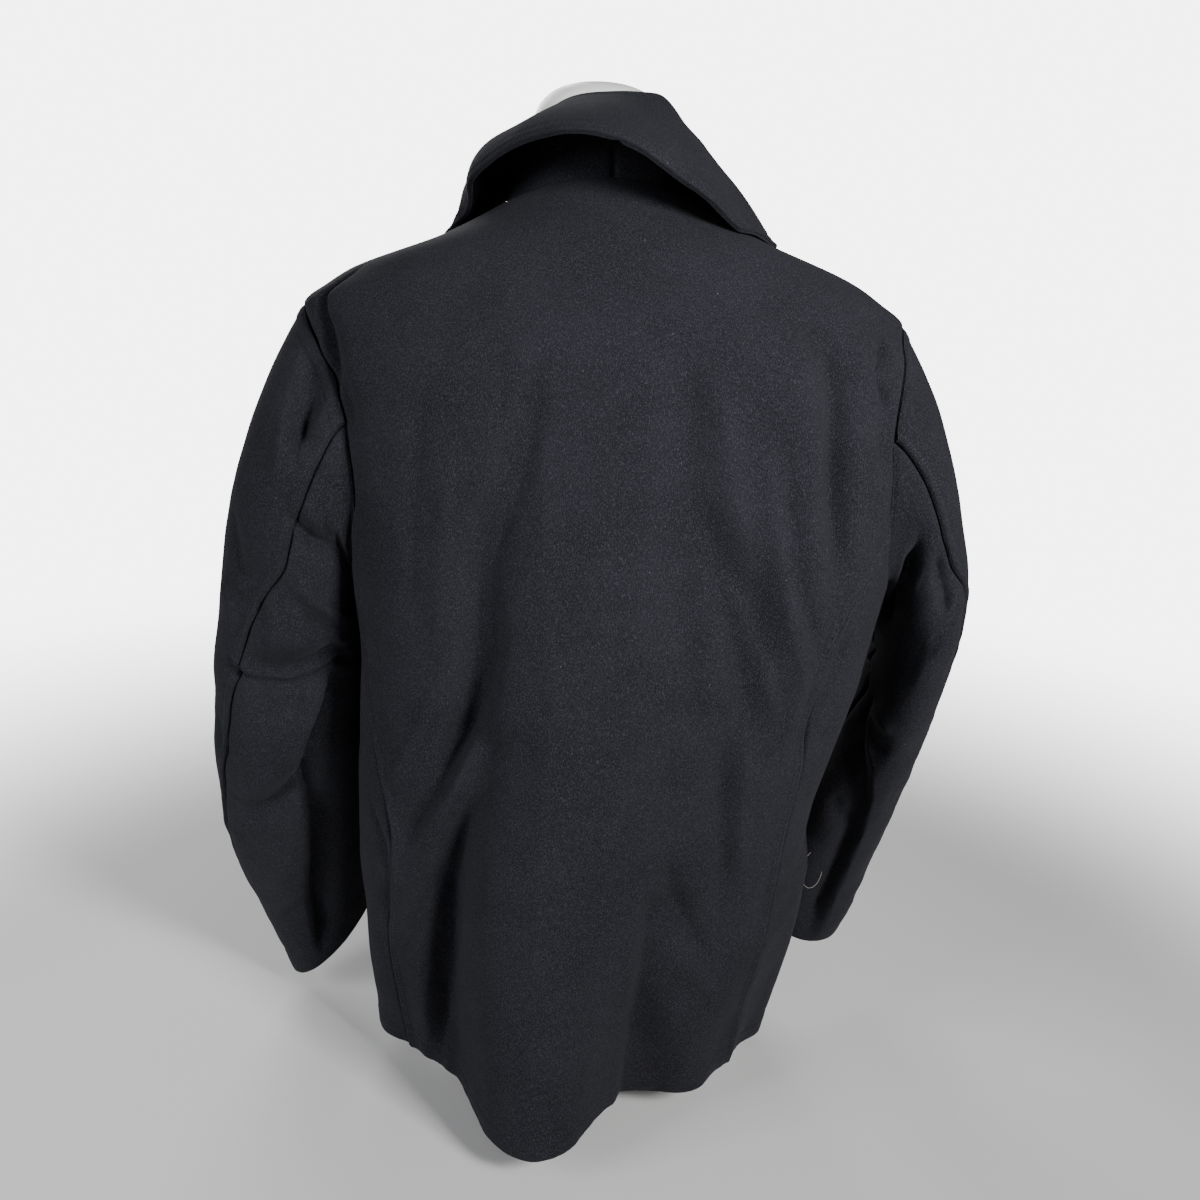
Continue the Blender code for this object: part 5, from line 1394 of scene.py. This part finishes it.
# --- the body's panels
@dataclass(frozen=True)
class BodyPanels:
    """Back, side panels and fronts of the coat."""

    finishes: Finishes
    sleeves: dict[int, SleeveShell]
    back_width: float = 0.58
    front_width: float = 0.42
    side_width: float = 0.20
    left_lapel: float = 0.30
    right_lapel: float = 0.16
    lapel_width: float = 0.12
    armhole_rows: int = 57
    stitched_past_break: float = 0.012

    def rows(self) -> tuple[Array, int, int]:
        """Levels shared by back and fronts, and the rows where the armhole starts and ends."""
        low = graded(JOIN_LEVEL, True, False) * JOIN_LEVEL
        turns = np.linspace(JOIN_TURN, 0.0, self.armhole_rows)
        hole = armhole(1, turns)[1]
        shoulder = ARMHOLE_TOP + graded(NECK_LEVEL - ARMHOLE_TOP, False, True) * (NECK_LEVEL - ARMHOLE_TOP)
        levels = np.concatenate((low[:-1], hole, shoulder[1:]))
        if len(levels) % 2 == 0:
            levels = np.concatenate((levels[:-9], [(levels[-10] + levels[-9]) / 2], levels[-9:]))
        return levels, len(low) - 1, len(low) - 1 + len(turns)

    def bend(self, outer: Array, inside: Array, side: int, column: int, front: bool, rows: slice) -> Array:
        """Bends a panel's inside towards the mitre of its armhole seam, over a short way from it.

        Args:
            outer: The panel's surface, whose edge is moved by half a seam gap.
            inside: Way from the outer to the inner face at every point.
            side: Which armhole.
            column: The grid column on it.
            front: Whether the panel is a front.
            rows: The rows on it.

        Returns:
            The bent way at every point.
        """
        turn = armhole_turn(self.rows()[0][rows])
        turn = (360.0 - turn) % 360.0 if front else turn
        mitre, across = self.sleeves[side].mitre(turn)
        away = arc(outer[rows])
        away = away if column == 0 else away[:, -1:] - away
        inside[rows] = lean(inside[rows], mitre[:, None], away)
        outer[rows, column] += across * SEAM_GAP / 2
        return inside

    def back(self) -> ClothPiece:
        """Back in one piece, side seam to side seam and up to both shoulder seams."""
        levels, first, last = self.rows()
        share = 2.0 * graded(self.back_width) - 1.0
        left = panel_edge(LEFT, levels, False)[:, None]
        right = panel_edge(RIGHT, levels, False)[:, None]
        angle = np.where(share > 0, share * left, share * right)
        level = np.broadcast_to(levels[:, None], angle.shape)
        outer, normal = BODY.point(angle, level), BODY.normal(angle, level)
        rows = slice(first, last)
        inside = self.bend(outer, -normal * CLOTH, LEFT, -1, False, rows)
        inside = self.bend(outer, inside, RIGHT, 0, False, rows)
        borders = [Border("low", Edge.HEM), Border("high", Edge.NECK)]
        for side in ("left", "right"):
            borders += [Border(side, Edge.LAPPED, 0, first + 1), Border(side, Edge.SEAM, first, last),
                        Border(side, Edge.SEAM, last - 1)]
        return ClothPiece("back_panel", ("back",), outer, normal, gap=SIDE_SEAM_GAP, borders=tuple(borders),
                          drawn_back=("left", "right"), inside=inside)

    def front(self, side: int) -> ClothPiece:
        """Front from the side seam to the lap and the roll, up to the shoulder seam and neck."""
        name = side_name(side)
        levels, first, last = self.rows()
        share = graded(self.front_width)[None, :]
        level = np.broadcast_to(levels[:, None], (len(levels), share.shape[1]))
        outside = panel_edge(side, level, True)
        angle = outside + (front_edge(level) - outside) * share
        outer, normal = front_point(side, angle, level), BODY.normal(side * angle, level)
        rows = slice(first, last)
        inside = self.bend(outer, -normal * CLOTH, side, 0, True, rows)
        broken = int(np.searchsorted(levels, BREAK_LEVEL + self.stitched_past_break))
        borders = (Border("low", Edge.HEM), Border("high", Edge.NECK),
                   Border("left", Edge.UNDER_LAP, 0, first + 1), Border("left", Edge.SEAM, first, last),
                   Border("left", Edge.SEAM, last - 1), Border("right", Edge.TURNED, 0, broken))
        return ClothPiece(f"{name}_front_panel", (f"front_{name}",), outer, normal, borders=borders,
                          drawn_back=("left",), inside=inside)

    def side(self, side: int) -> ClothPiece:
        """Side panel under the arm, between the back and a front."""
        name = side_name(side)
        share = graded(self.side_width)
        turns = JOIN_TURN + (360.0 - 2 * JOIN_TURN) * share
        top_angle, top_level = armhole(side, turns)
        top_angle = np.abs(top_angle)
        rise = graded(JOIN_LEVEL)[:, None]
        level = rise * top_level
        back, front = side_seam(side, level, False), side_seam(side, level, True)
        top_back, top_front = side_seam(side, top_level, False), side_seam(side, top_level, True)
        top_share = (top_angle - top_back) / (top_front - top_back)
        angle = back + (front - back) * (share + (top_share - share) * rise ** 2)
        outer, normal = BODY.point(side * angle, level), BODY.normal(side * angle, level)
        mitre, across = self.sleeves[side].mitre(turns)
        up = arc(outer.swapaxes(0, 1)).T
        inside = lean(-normal * CLOTH, mitre[None], up[-1] - up)
        outer[-1] += across * SEAM_GAP / 2
        borders = (Border("low", Edge.HEM), Border("left", Edge.UNDER_LAP), Border("right", Edge.LAPPED),
                   Border("high", Edge.SEAM))
        return ClothPiece(f"{name}_side_panel", (f"side_{name}",), outer, normal, gap=SIDE_SEAM_GAP,
                          borders=borders, drawn_back=("left", "right"), inside=inside)

    def lapel(self, side: int) -> ClothPiece:
        """Lapel turned back over its front, wrapping the roll and ending in the gorge."""
        name = side_name(side)
        table, length = (LEFT_LAPEL, self.left_lapel) if side > 0 else (RIGHT_LAPEL, self.right_lapel)
        row = columns(table, graded(length))
        bend = CLOTH / 2 + SKIN_LIFT
        flat = graded(self.lapel_width, False, True)[1:]
        places = [(0.0, turn) for turn in LAPEL_WRAP] + [(float(across), 0.0) for across in flat]
        if len(places) % 2 == 0:
            places.insert(12, ((places[11][0] + places[12][0]) / 2, 0.0))
        outer, normals = [], []
        for across, turn in places:
            level = row.roll_level + (row.edge_level - row.roll_level) * across
            x = roll_x(row.roll_level) + (row.edge_x - roll_x(row.roll_level)) * across
            angle = 180.0 - BODY.angle_at(x, level)
            point = front_point(side, angle, level, -CLOTH / 2)
            normal = BODY.normal(side * angle, level)
            beside = unit(front_point(side, angle + 1.0, level, -CLOTH / 2) - point)
            direction = normal * math.cos(math.radians(turn)) + beside * math.sin(math.radians(turn))
            outer.append(point + direction * (bend + LAPEL_CLOTH))
            normals.append(direction)
        borders = (Border("right", Edge.TURNED), Border("high", Edge.TURNED), Border("low", Edge.FREE))
        return ClothPiece(f"{name}_lapel", (f"lapel_{name}",), np.stack(outer, axis=1),
                          np.stack(normals, axis=1), thickness=LAPEL_CLOTH, borders=borders, held="folded",
                          rests_on=(f"{name}_front_panel",))

    def build(self) -> None:
        """Builds every panel with its stitching."""
        pieces = [self.back()]
        for side in (LEFT, RIGHT):
            pieces += [self.side(side), self.front(side), self.lapel(side)]
        sew(pieces, self.finishes)


# --- sleeves
@dataclass(frozen=True)
class Sleeve:
    """A two-piece sleeve set into its armhole."""

    shell: SleeveShell
    finishes: Finishes
    length: float = 0.64
    under_width: float = 0.17
    top_width: float = 0.28

    def piece(self, part: str, first: float, last: float, width: float) -> ClothPiece:
        """One of the sleeve's two pieces, between two places on the armhole."""
        name = side_name(self.shell.side)
        end = len(self.shell.sections) - 1.0
        turns = first + (last - first) * graded(width)
        at = end * graded(self.length)
        turn, place = np.broadcast_arrays(turns[None, :], at[:, None])
        outer, normal = self.shell.point(turn, place), self.shell.normal(turn, place)
        mitre, across = self.shell.mitre(turns)
        inside = lean(-normal * CLOTH, mitre[None], arc(outer.swapaxes(0, 1)).T)
        outer[0] -= across * SEAM_GAP / 2
        top = part == "top"
        borders = (Border("low", Edge.SLEEVE_HEAD if top else Edge.SEAM), Border("high", Edge.CUFF),
                   Border("left", Edge.SEAM if top else Edge.UNDER_LAP),
                   Border("right", Edge.LAPPED if top else Edge.SEAM))
        return ClothPiece(f"{name}_sleeve_{part}_piece", (f"sleeve_{name}_{part}",), outer, normal,
                          borders=borders, drawn_back=("left", "right"), inside=inside,
                          rests_on=(f"{name}_side_panel",))

    def build(self) -> None:
        """Builds both pieces."""
        sew([self.piece("under", HIND_SEAM, FORE_SEAM, self.under_width),
             self.piece("top", FORE_SEAM, HIND_SEAM + 360.0, self.top_width)], self.finishes)


# --- collar
@dataclass(frozen=True)
class Collar:
    """Upper collar in one piece over an under collar in two."""

    finishes: Finishes
    stand: float = 0.045
    leaf: float = 0.075
    half_length: float = 0.36
    roll_rows: int = 13
    rumple: float = 0.0012
    rumple_size: float = 0.030
    rumple_start: float = 0.02
    rumple_growth: float = 0.2
    settling: float = 0.25

    @staticmethod
    def rest_on_body(points: Array, settled: Array) -> Array:
        """Lays points on the shoulders.

        Args:
            points: Points of the leaf.
            settled: How far each one settles onto the shoulder, from 0, where it is only lifted clear.

        Returns:
            The points clear of the shoulders.
        """
        angle, level = np.meshgrid(np.linspace(-140.0, 140.0, 141), np.linspace(ARMHOLE_TOP, NECK_LEVEL, 30))
        ground = BODY.point(angle, level).reshape(-1, 3)
        normals = BODY.normal(angle, level).reshape(-1, 3)
        places = points.reshape(-1, 3)
        nearest = np.argmin(((places[:, None] - ground[None]) ** 2).sum(axis=-1), axis=1)
        height = np.sum((places - ground[nearest]) * normals[nearest], axis=-1)
        lift = COLLAR_CLOTH + LEAF_CLEARANCE - height
        lift = np.maximum(lift, 0.0) + np.minimum(lift, 0.0) * settled.ravel()
        return (places + normals[nearest] * lift[:, None]).reshape(points.shape)

    def middle(self, angle: Array, steps: Array) -> Array:
        """Middle of the collar's cloth from the neck seam over the roll to the edge."""
        row = columns(COLLAR, angle)
        seam = BODY.point(angle, np.full_like(angle, NECK_LEVEL))
        inward = unit(stack(-seam[..., 0], -seam[..., 1], np.zeros_like(angle)))
        seam = seam + inward * (COLLAR_CLOTH + SEAM_GAP / 2) + UP * COLLAR_LIFT
        roll = stack(row.roll_x, row.roll_y, row.roll_z)
        edge = stack(row.edge_x, row.edge_y, row.edge_z)
        most = ROLL_SHARE * np.linalg.norm(roll - seam, axis=-1)
        before = roll - unit(roll - seam) * np.minimum(ROLL_LENGTH, most)[..., None]
        after = roll + unit(edge - roll) * ROLL_LENGTH
        leaf_out = unit(np.cross(edge - roll, np.gradient(edge, axis=0)))
        leaf_out = leaf_out * np.sign(leaf_out[..., 2:])
        settled = smooth((np.abs(angle) - LEAF_LIES) / LEAF_SETTLES)
        points = []
        for step in steps:
            if step <= ROLL_START:
                point = seam + (before - seam) * (step / ROLL_START)
            elif step < ROLL_END:
                s = (step - ROLL_START) / (ROLL_END - ROLL_START)
                point = (1 - s) ** 2 * before + 2 * s * (1 - s) * roll + s * s * after
            else:
                s = (step - ROLL_END) / (1.0 - ROLL_END)
                bowed = after + (edge - after) * s + leaf_out * (row.bow * 4 * s * (1 - s))[..., None]
                point = self.rest_on_body(bowed, settled * smooth(s / self.settling))
            points.append(point)
        return np.stack(points, axis=0)

    def layers(self) -> tuple[Array, Array]:
        """The cloth's middle on a fine grid, and the way up through it."""
        steps = np.concatenate((graded(self.stand, True, False) * ROLL_START,
                                np.linspace(ROLL_START, ROLL_END, self.roll_rows)[1:-1],
                                ROLL_END + graded(self.leaf, False, True) * (1.0 - ROLL_END)))
        if len(steps) % 2 == 0:
            steps = np.insert(steps, 4, (steps[3] + steps[4]) / 2)
        half = graded(self.half_length)
        share = np.concatenate((-half[::-1], half[1:]))
        middle = self.middle(share * NECK_END, steps)
        free = smooth((steps[:, None] - self.rumple_start) / self.rumple_growth)
        uneven = self.rumple * soft_noise(middle, self.rumple_size, 7) * free
        top = unit(np.cross(np.gradient(middle, axis=1), np.gradient(middle, axis=0)))
        middle = middle + top * uneven[..., None]
        return middle, unit(np.cross(np.gradient(middle, axis=1), np.gradient(middle, axis=0)))

    def build(self) -> None:
        """Builds the three pieces."""
        middle, top = self.layers()
        half = SEAM_GAP / 2
        centre = middle.shape[1] // 2
        ends = (Border("left", Edge.TURNED), Border("right", Edge.TURNED))
        edges = (Border("high", Edge.LEAF), Border("low", Edge.NECK))
        shared = {"thickness": COLLAR_CLOTH, "held": "folded", "rests_on": ("back_panel",)}
        pieces = [ClothPiece("upper_collar", ("collar_upper",), middle + top * (half + COLLAR_CLOTH), top,
                             borders=ends + edges, **shared)]
        under = middle - top * (half + COLLAR_CLOTH)
        halves = (("right", "left", slice(0, centre + 1)), ("left", "right", slice(centre, None)))
        for name, other, kept in halves:
            borders = (Border(name, Edge.SEAM), Border(other, Edge.TURNED)) + edges
            pieces.append(ClothPiece(f"{name}_under_collar", (f"collar_under_{name}",), under[:, kept],
                                     -top[:, kept], borders=borders, drawn_back=(name,), **shared))
        sew(pieces, self.finishes)


# --- trim
@dataclass(frozen=True)
class Welts:
    """Slanting pocket welts stitched on the fronts."""

    finishes: Finishes
    width: float = 0.026

    def welt(self, side: int) -> ClothPiece:
        """Lays one welt on its front."""
        name = side_name(side)
        along = graded(WELT_LENGTH)[:, None]
        across = graded(self.width)[None, :]
        level = WELT_LEVEL + WELT_LENGTH * along + 0.0 * across
        angle = WELT_START - WELT_LEAN * along + WELT_TURN * across
        outer = front_point(side, angle, level, TRIM_LIFT + WELT_THICK)
        borders = tuple(Border(edge, Edge.TURNED) for edge in ("low", "high", "left", "right"))
        return ClothPiece(f"{name}_pocket_welt", (f"welt_{name}",), outer, BODY.normal(side * angle, level),
                          thickness=WELT_THICK, borders=borders, held="laid",
                          rests_on=(f"{name}_front_panel",))

    def build(self) -> None:
        """Builds both welts."""
        sew([self.welt(LEFT), self.welt(RIGHT)], self.finishes)


@dataclass(frozen=True)
class Buttons:
    """Turned four-hole buttons in two columns on the over front."""

    finishes: Finishes
    sides: int = 48
    rim: float = 0.0021
    bevel: float = 0.0014
    well: float = 0.0011
    floor_rim: float = 0.0022
    floor_dip: float = 0.0002
    rounding: float = 0.00055
    hole_radius: float = 0.00115
    hole_spread: float = 0.0024
    strand_radius: float = 0.00032
    strand_length: float = 0.0074
    strand_gap: float = 0.00056
    strand_lift: float = 0.0004
    strand_over: float = 0.00055
    strand_dip: float = 0.0012
    turn: float = 17.0

    def turned(self) -> Thing:
        """Turns one button, lying at the origin with its face up."""
        deselect()
        bpy.ops.mesh.primitive_cylinder_add(vertices=self.sides, radius=BUTTON_RADIUS, depth=BUTTON_THICK)
        button = bpy.context.object
        bpy.ops.object.mode_set(mode="EDIT")
        bpy.ops.mesh.select_mode(type="FACE")
        bpy.ops.mesh.select_all(action="DESELECT")
        bpy.ops.object.mode_set(mode="OBJECT")
        for face in button.data.polygons:
            face.select = face.normal.z > 0.9
        bpy.ops.object.mode_set(mode="EDIT")
        bpy.ops.mesh.inset(thickness=self.rim, depth=0.0)
        bpy.ops.mesh.inset(thickness=self.bevel, depth=-self.well)
        bpy.ops.mesh.inset(thickness=self.floor_rim, depth=-self.floor_dip)
        bpy.ops.object.mode_set(mode="OBJECT")
        rounded = button.modifiers.new("soft_edges", "BEVEL")
        rounded.width, rounded.segments = self.rounding, 3
        rounded.limit_method, rounded.angle_limit = "ANGLE", math.radians(30)
        bpy.ops.object.modifier_apply(modifier=rounded.name)
        for x, y in itertools.product((-self.hole_spread, self.hole_spread), repeat=2):
            self.drill(button, x, y)
        select(button)
        bpy.ops.object.shade_smooth_by_angle(angle=math.radians(40))
        return button

    def drill(self, button: Thing, x: float, y: float) -> None:
        """Drills one hole through the button."""
        deselect()
        bpy.ops.mesh.primitive_cylinder_add(vertices=16, radius=self.hole_radius, depth=5 * BUTTON_THICK,
                                            location=(x, y, 0.0))
        drill = bpy.context.object
        select(button)
        cut = button.modifiers.new("hole", "BOOLEAN")
        cut.operation, cut.object = "DIFFERENCE", drill
        bpy.ops.object.modifier_apply(modifier=cut.name)
        bpy.data.objects.remove(drill, do_unlink=True)

    def strand(self, turn: float, shift: float, lift: float) -> Thing:
        """Bends one strand of thread, from hole to hole across the button.

        Args:
            turn: Direction across the button, in degrees.
            shift: How far it lies to one side.
            lift: How far it stands above the lowest strand.

        Returns:
            The strand.
        """
        deselect()
        bpy.ops.mesh.primitive_cylinder_add(vertices=8, radius=self.strand_radius, depth=self.strand_length,
                                            rotation=(math.radians(90), 0.0, math.radians(turn)))
        strand = bpy.context.object
        bpy.ops.object.transform_apply(location=True, rotation=True, scale=True)
        bpy.ops.object.mode_set(mode="EDIT")
        bpy.ops.mesh.select_all(action="SELECT")
        bpy.ops.mesh.subdivide(number_cuts=6)
        bpy.ops.object.mode_set(mode="OBJECT")
        aside = Vector((math.cos(math.radians(turn)), math.sin(math.radians(turn)), 0.0)) * shift
        for vertex in strand.data.vertices:
            reach = math.hypot(vertex.co.x, vertex.co.y) / (self.strand_length / 2)
            vertex.co += aside
            vertex.co.z += (BUTTON_THICK / 2 - self.well + self.strand_lift + lift
                            - self.strand_dip * reach ** 6)
        return strand

    def thread(self) -> Thing:
        """Crosses two pairs of strands over one button's holes."""
        strands = [self.strand(turn, shift, self.strand_over if turn > 0 else 0.0)
                   for turn in (45.0, -45.0) for shift in (-self.strand_gap / 2, self.strand_gap / 2)]
        select(*strands)
        bpy.ops.object.join()
        bpy.ops.object.shade_smooth()
        return strands[0]

    def build(self) -> None:
        """Sews six buttons on."""
        models = {"button": (self.turned(), self.finishes.plastic),
                  "button_thread": (self.thread(), self.finishes.thread)}
        places = [(x, height) for height in BUTTON_HEIGHTS for x in (-BUTTON_SPREAD, BUTTON_SPREAD)]
        for number, (x, height) in enumerate(places, start=1):
            level = np.array(height)
            angle = 180.0 - BODY.angle_at(np.array(x), level)
            centre = front_point(LEFT, angle, level, TRIM_LIFT + BUTTON_THICK / 2) + UP * HEM_CLEARANCE
            tilt = Vector(BODY.normal(angle, level)).to_track_quat("Z", "Y").to_matrix().to_4x4()
            spun = Matrix.Rotation(math.radians(self.turn * number), 4, "Z")
            for kind, (model, finish) in models.items():
                mesh = model.data.copy()
                mesh.transform(Matrix.Translation(centre) @ tilt @ spun)
                mesh.materials.clear()
                mesh.materials.append(finish)
                thing = add_object(f"sewn_{kind}_{number}", mesh)
                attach(thing, "root")
                if kind == "button":
                    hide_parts(f"button_{number}")
                LOG.info("%s: %d faces", thing.name, len(mesh.polygons))
        for model, _ in models.values():
            bpy.data.objects.remove(model, do_unlink=True)


@dataclass(frozen=True)
class ThreadEnd:
    """A loose end of thread that curls out beside the right cuff."""

    finishes: Finishes
    turn: float = 150.0
    section: float = 6.15
    radius: float = 0.00016
    sides: int = 6
    steps: int = 40
    width: float = 0.0126
    height: float = 0.0186
    gap: float = 0.0006
    swing: tuple[float, float] = (20.0, 260.0)
    start: tuple[float, float] = (0.94, 0.34)
    stands_off: float = 0.006

    def line(self) -> Array:
        """Middle of the thread: part of an oval that leaves the cloth and comes back to it."""
        shell = SleeveShell(RIGHT)
        place = np.array(self.turn), np.array(self.section)
        start, out = shell.point(*place), shell.normal(*place)
        beside = unit(np.cross(UP, out))
        t = np.linspace(0.0, 1.0, self.steps)[:, None]
        first, sweep = self.swing
        swing = np.radians(first + sweep * t)
        off = out * (self.gap + self.stands_off * np.sin(math.pi * t))
        return (start + off + beside * self.width * (np.cos(swing) - self.start[0])
                - UP * self.height * (np.sin(swing) - self.start[1]))

    def build(self) -> None:
        """Gives the thread its thickness."""
        line, sides = self.line(), self.sides
        ring = np.linspace(0.0, 2 * math.pi, sides, endpoint=False)
        along = unit(np.gradient(line, axis=0))
        side = unit(np.cross(along, UP + 0.1))
        over = np.cross(side, along)
        points = line[:, None] + self.radius * (side[:, None] * np.cos(ring)[None, :, None]
                                                + over[:, None] * np.sin(ring)[None, :, None])
        faces = [(sides * r + c, sides * r + (c + 1) % sides, sides * (r + 1) + (c + 1) % sides,
                  sides * (r + 1) + c) for r in range(len(line) - 1) for c in range(sides)]
        faces += [tuple(range(sides - 1, -1, -1)), tuple(sides * (len(line) - 1) + c for c in range(sides))]
        thing = make_mesh("loose_thread_end", points.reshape(-1, 3), faces)
        thing.data.materials.append(self.finishes.loose_thread)
        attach(thing, "root")
        LOG.info("%s: %d faces", thing.name, len(faces))


@dataclass(frozen=True)
class TorsoForm:
    """The limbless form that the coat stands on, as one smooth lacquered shell."""

    finishes: Finishes

    def build(self) -> None:
        """Makes a smoother shell from the form's own solid."""
        shell = add_object("torso_form_shell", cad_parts["torso_form"].data.copy())
        select(shell)
        bpy.ops.object.mode_set(mode="EDIT")
        bpy.ops.mesh.select_all(action="SELECT")
        bpy.ops.mesh.remove_doubles(threshold=0.00005)
        flat_enough = math.radians(60)
        bpy.ops.mesh.tris_convert_to_quads(face_threshold=flat_enough, shape_threshold=flat_enough)
        bpy.ops.object.mode_set(mode="OBJECT")
        if shell.data.has_custom_normals:
            bpy.ops.mesh.customdata_custom_splitnormals_clear()
        rounding = shell.modifiers.new("smoother", "SUBSURF")
        rounding.levels = rounding.render_levels = 2
        bpy.ops.object.modifier_apply(modifier=rounding.name)
        bpy.ops.object.shade_smooth_by_angle(angle=math.radians(50))
        shell.data.materials.clear()
        shell.data.materials.append(self.finishes.form)
        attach(shell, "root")
        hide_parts("torso_form")
        LOG.info("%s: %d faces", shell.name, len(shell.data.polygons))


# --- stage
class Lamp(NamedTuple):
    """One square soft light, and the height on the coat that it points at."""

    name: str
    place: Place
    size: float
    power: float
    tint: Colour
    spread: float = 180.0
    aim: float = 0.45


@dataclass(frozen=True)
class Studio:
    """Pale floor, soft lights and the camera behind the coat."""

    camera_place: Place = (0.0572, 0.9884, 0.744)
    camera_right: Place = (-0.99803, 0.0628, 0.0)
    camera_up: Place = (-0.0179, -0.2851, 0.9583)
    roll: float = 2.4
    lens: float = 35.7
    sensor: float = 36.0
    lamps: tuple[Lamp, ...] = (
        Lamp("key_light", (-0.84, 1.16, 1.08), 0.36, 10.8, (1.0, 0.99, 0.98), 90.0, 0.56),
        Lamp("fill_light", (1.7, 1.0, 1.00), 0.9, 28.0, (0.97, 0.98, 1.0)),
        Lamp("front_light", (0.9, -2.4, 1.6), 1.6, 55.0, (1.0, 1.0, 1.0)),
    )
    sky: Colour = (0.97, 0.97, 0.98)
    ambient: float = 0.17
    backdrop: float = 7.0
    floor_size: float = 24.0
    floor_dark: Colour = (0.62, 0.62, 0.62)
    floor_pale: Colour = (0.66, 0.66, 0.66)
    floor_fades: tuple[float, float] = (0.6, 1.8)

    def camera(self) -> None:
        """Sets the camera where the coat is seen from."""
        right, up = Vector(self.camera_right), Vector(self.camera_up)
        turn = math.radians(self.roll)
        x = (right * math.cos(turn) + up * math.sin(turn)).normalized()
        y = (up * math.cos(turn) - right * math.sin(turn)).normalized()
        data = bpy.data.cameras.new("camera")
        data.lens, data.sensor_width, data.clip_start, data.clip_end = self.lens, self.sensor, 0.02, 60.0
        data.dof.use_dof = False
        thing = add_object("camera", data)
        matrix = Matrix((x, y, x.cross(y))).transposed().to_4x4()
        matrix.translation = self.camera_place
        thing.matrix_world = matrix
        bpy.context.scene.camera = thing

    def light(self, lamp: Lamp) -> None:
        """Hangs one light."""
        data = bpy.data.lights.new(lamp.name, "AREA")
        data.energy, data.size, data.color = lamp.power, lamp.size, lamp.tint
        data.spread = math.radians(lamp.spread)
        thing = add_object(lamp.name, data)
        thing.location = lamp.place
        aim = Vector((0.0, 0.0, lamp.aim)) - Vector(lamp.place)
        thing.rotation_euler = aim.to_track_quat("-Z", "Y").to_euler()

    def floor(self) -> None:
        """Lays a pale floor under the form, which fades away from it."""
        deselect()
        bpy.ops.mesh.primitive_plane_add(size=self.floor_size, location=(0.0, 0.0, 0.0))
        floor = bpy.context.object
        floor.name = "studio_floor"
        g = Graph("pale_floor")
        away = g.add("ShaderNodeVectorMath", operation="LENGTH")
        g.join(g.place, away.inputs[0])
        floor.data.materials.append(g.finish(
            Base_Color=g.mix(g.noise(3.0, 3.0, 0.5), self.floor_dark, self.floor_pale), Roughness=0.9,
            Alpha=g.ramp(away.outputs["Value"], *self.floor_fades, 1.0, 0.0)))

    def world(self) -> None:
        """Hangs a bright backdrop, which lights the coat only dimly."""
        world = bpy.data.worlds.new("studio")
        world.use_nodes = True
        nodes, links = world.node_tree.nodes, world.node_tree.links
        sky = nodes["Background"]
        sky.inputs["Color"].default_value = (*self.sky, 1.0)
        sky.inputs["Strength"].default_value = self.ambient
        wall = nodes.new("ShaderNodeBackground")
        wall.inputs["Strength"].default_value = self.backdrop
        seen = nodes.new("ShaderNodeLightPath").outputs["Is Camera Ray"]
        both = nodes.new("ShaderNodeMixShader")
        for source, socket in ((seen, 0), (sky.outputs[0], 1), (wall.outputs[0], 2)):
            links.new(source, both.inputs[socket])
        links.new(both.outputs[0], nodes["World Output"].inputs["Surface"])
        bpy.context.scene.world = world

    def build(self) -> None:
        """Sets up the whole stage."""
        self.camera()
        self.floor()
        for lamp in self.lamps:
            self.light(lamp)
        self.world()


def main() -> None:
    """Dresses the frame and sets the stage."""
    logging.basicConfig(level=logging.INFO, format="%(message)s")
    finishes = Finishes.make()
    shells = {side: SleeveShell(side) for side in (LEFT, RIGHT)}
    BodyPanels(finishes, shells).build()
    for shell in shells.values():
        Sleeve(shell, finishes).build()
    Collar(finishes).build()
    Welts(finishes).build()
    Buttons(finishes).build()
    ThreadEnd(finishes).build()
    TorsoForm(finishes).build()
    Studio().build()


if __name__ == "__main__":
    main()
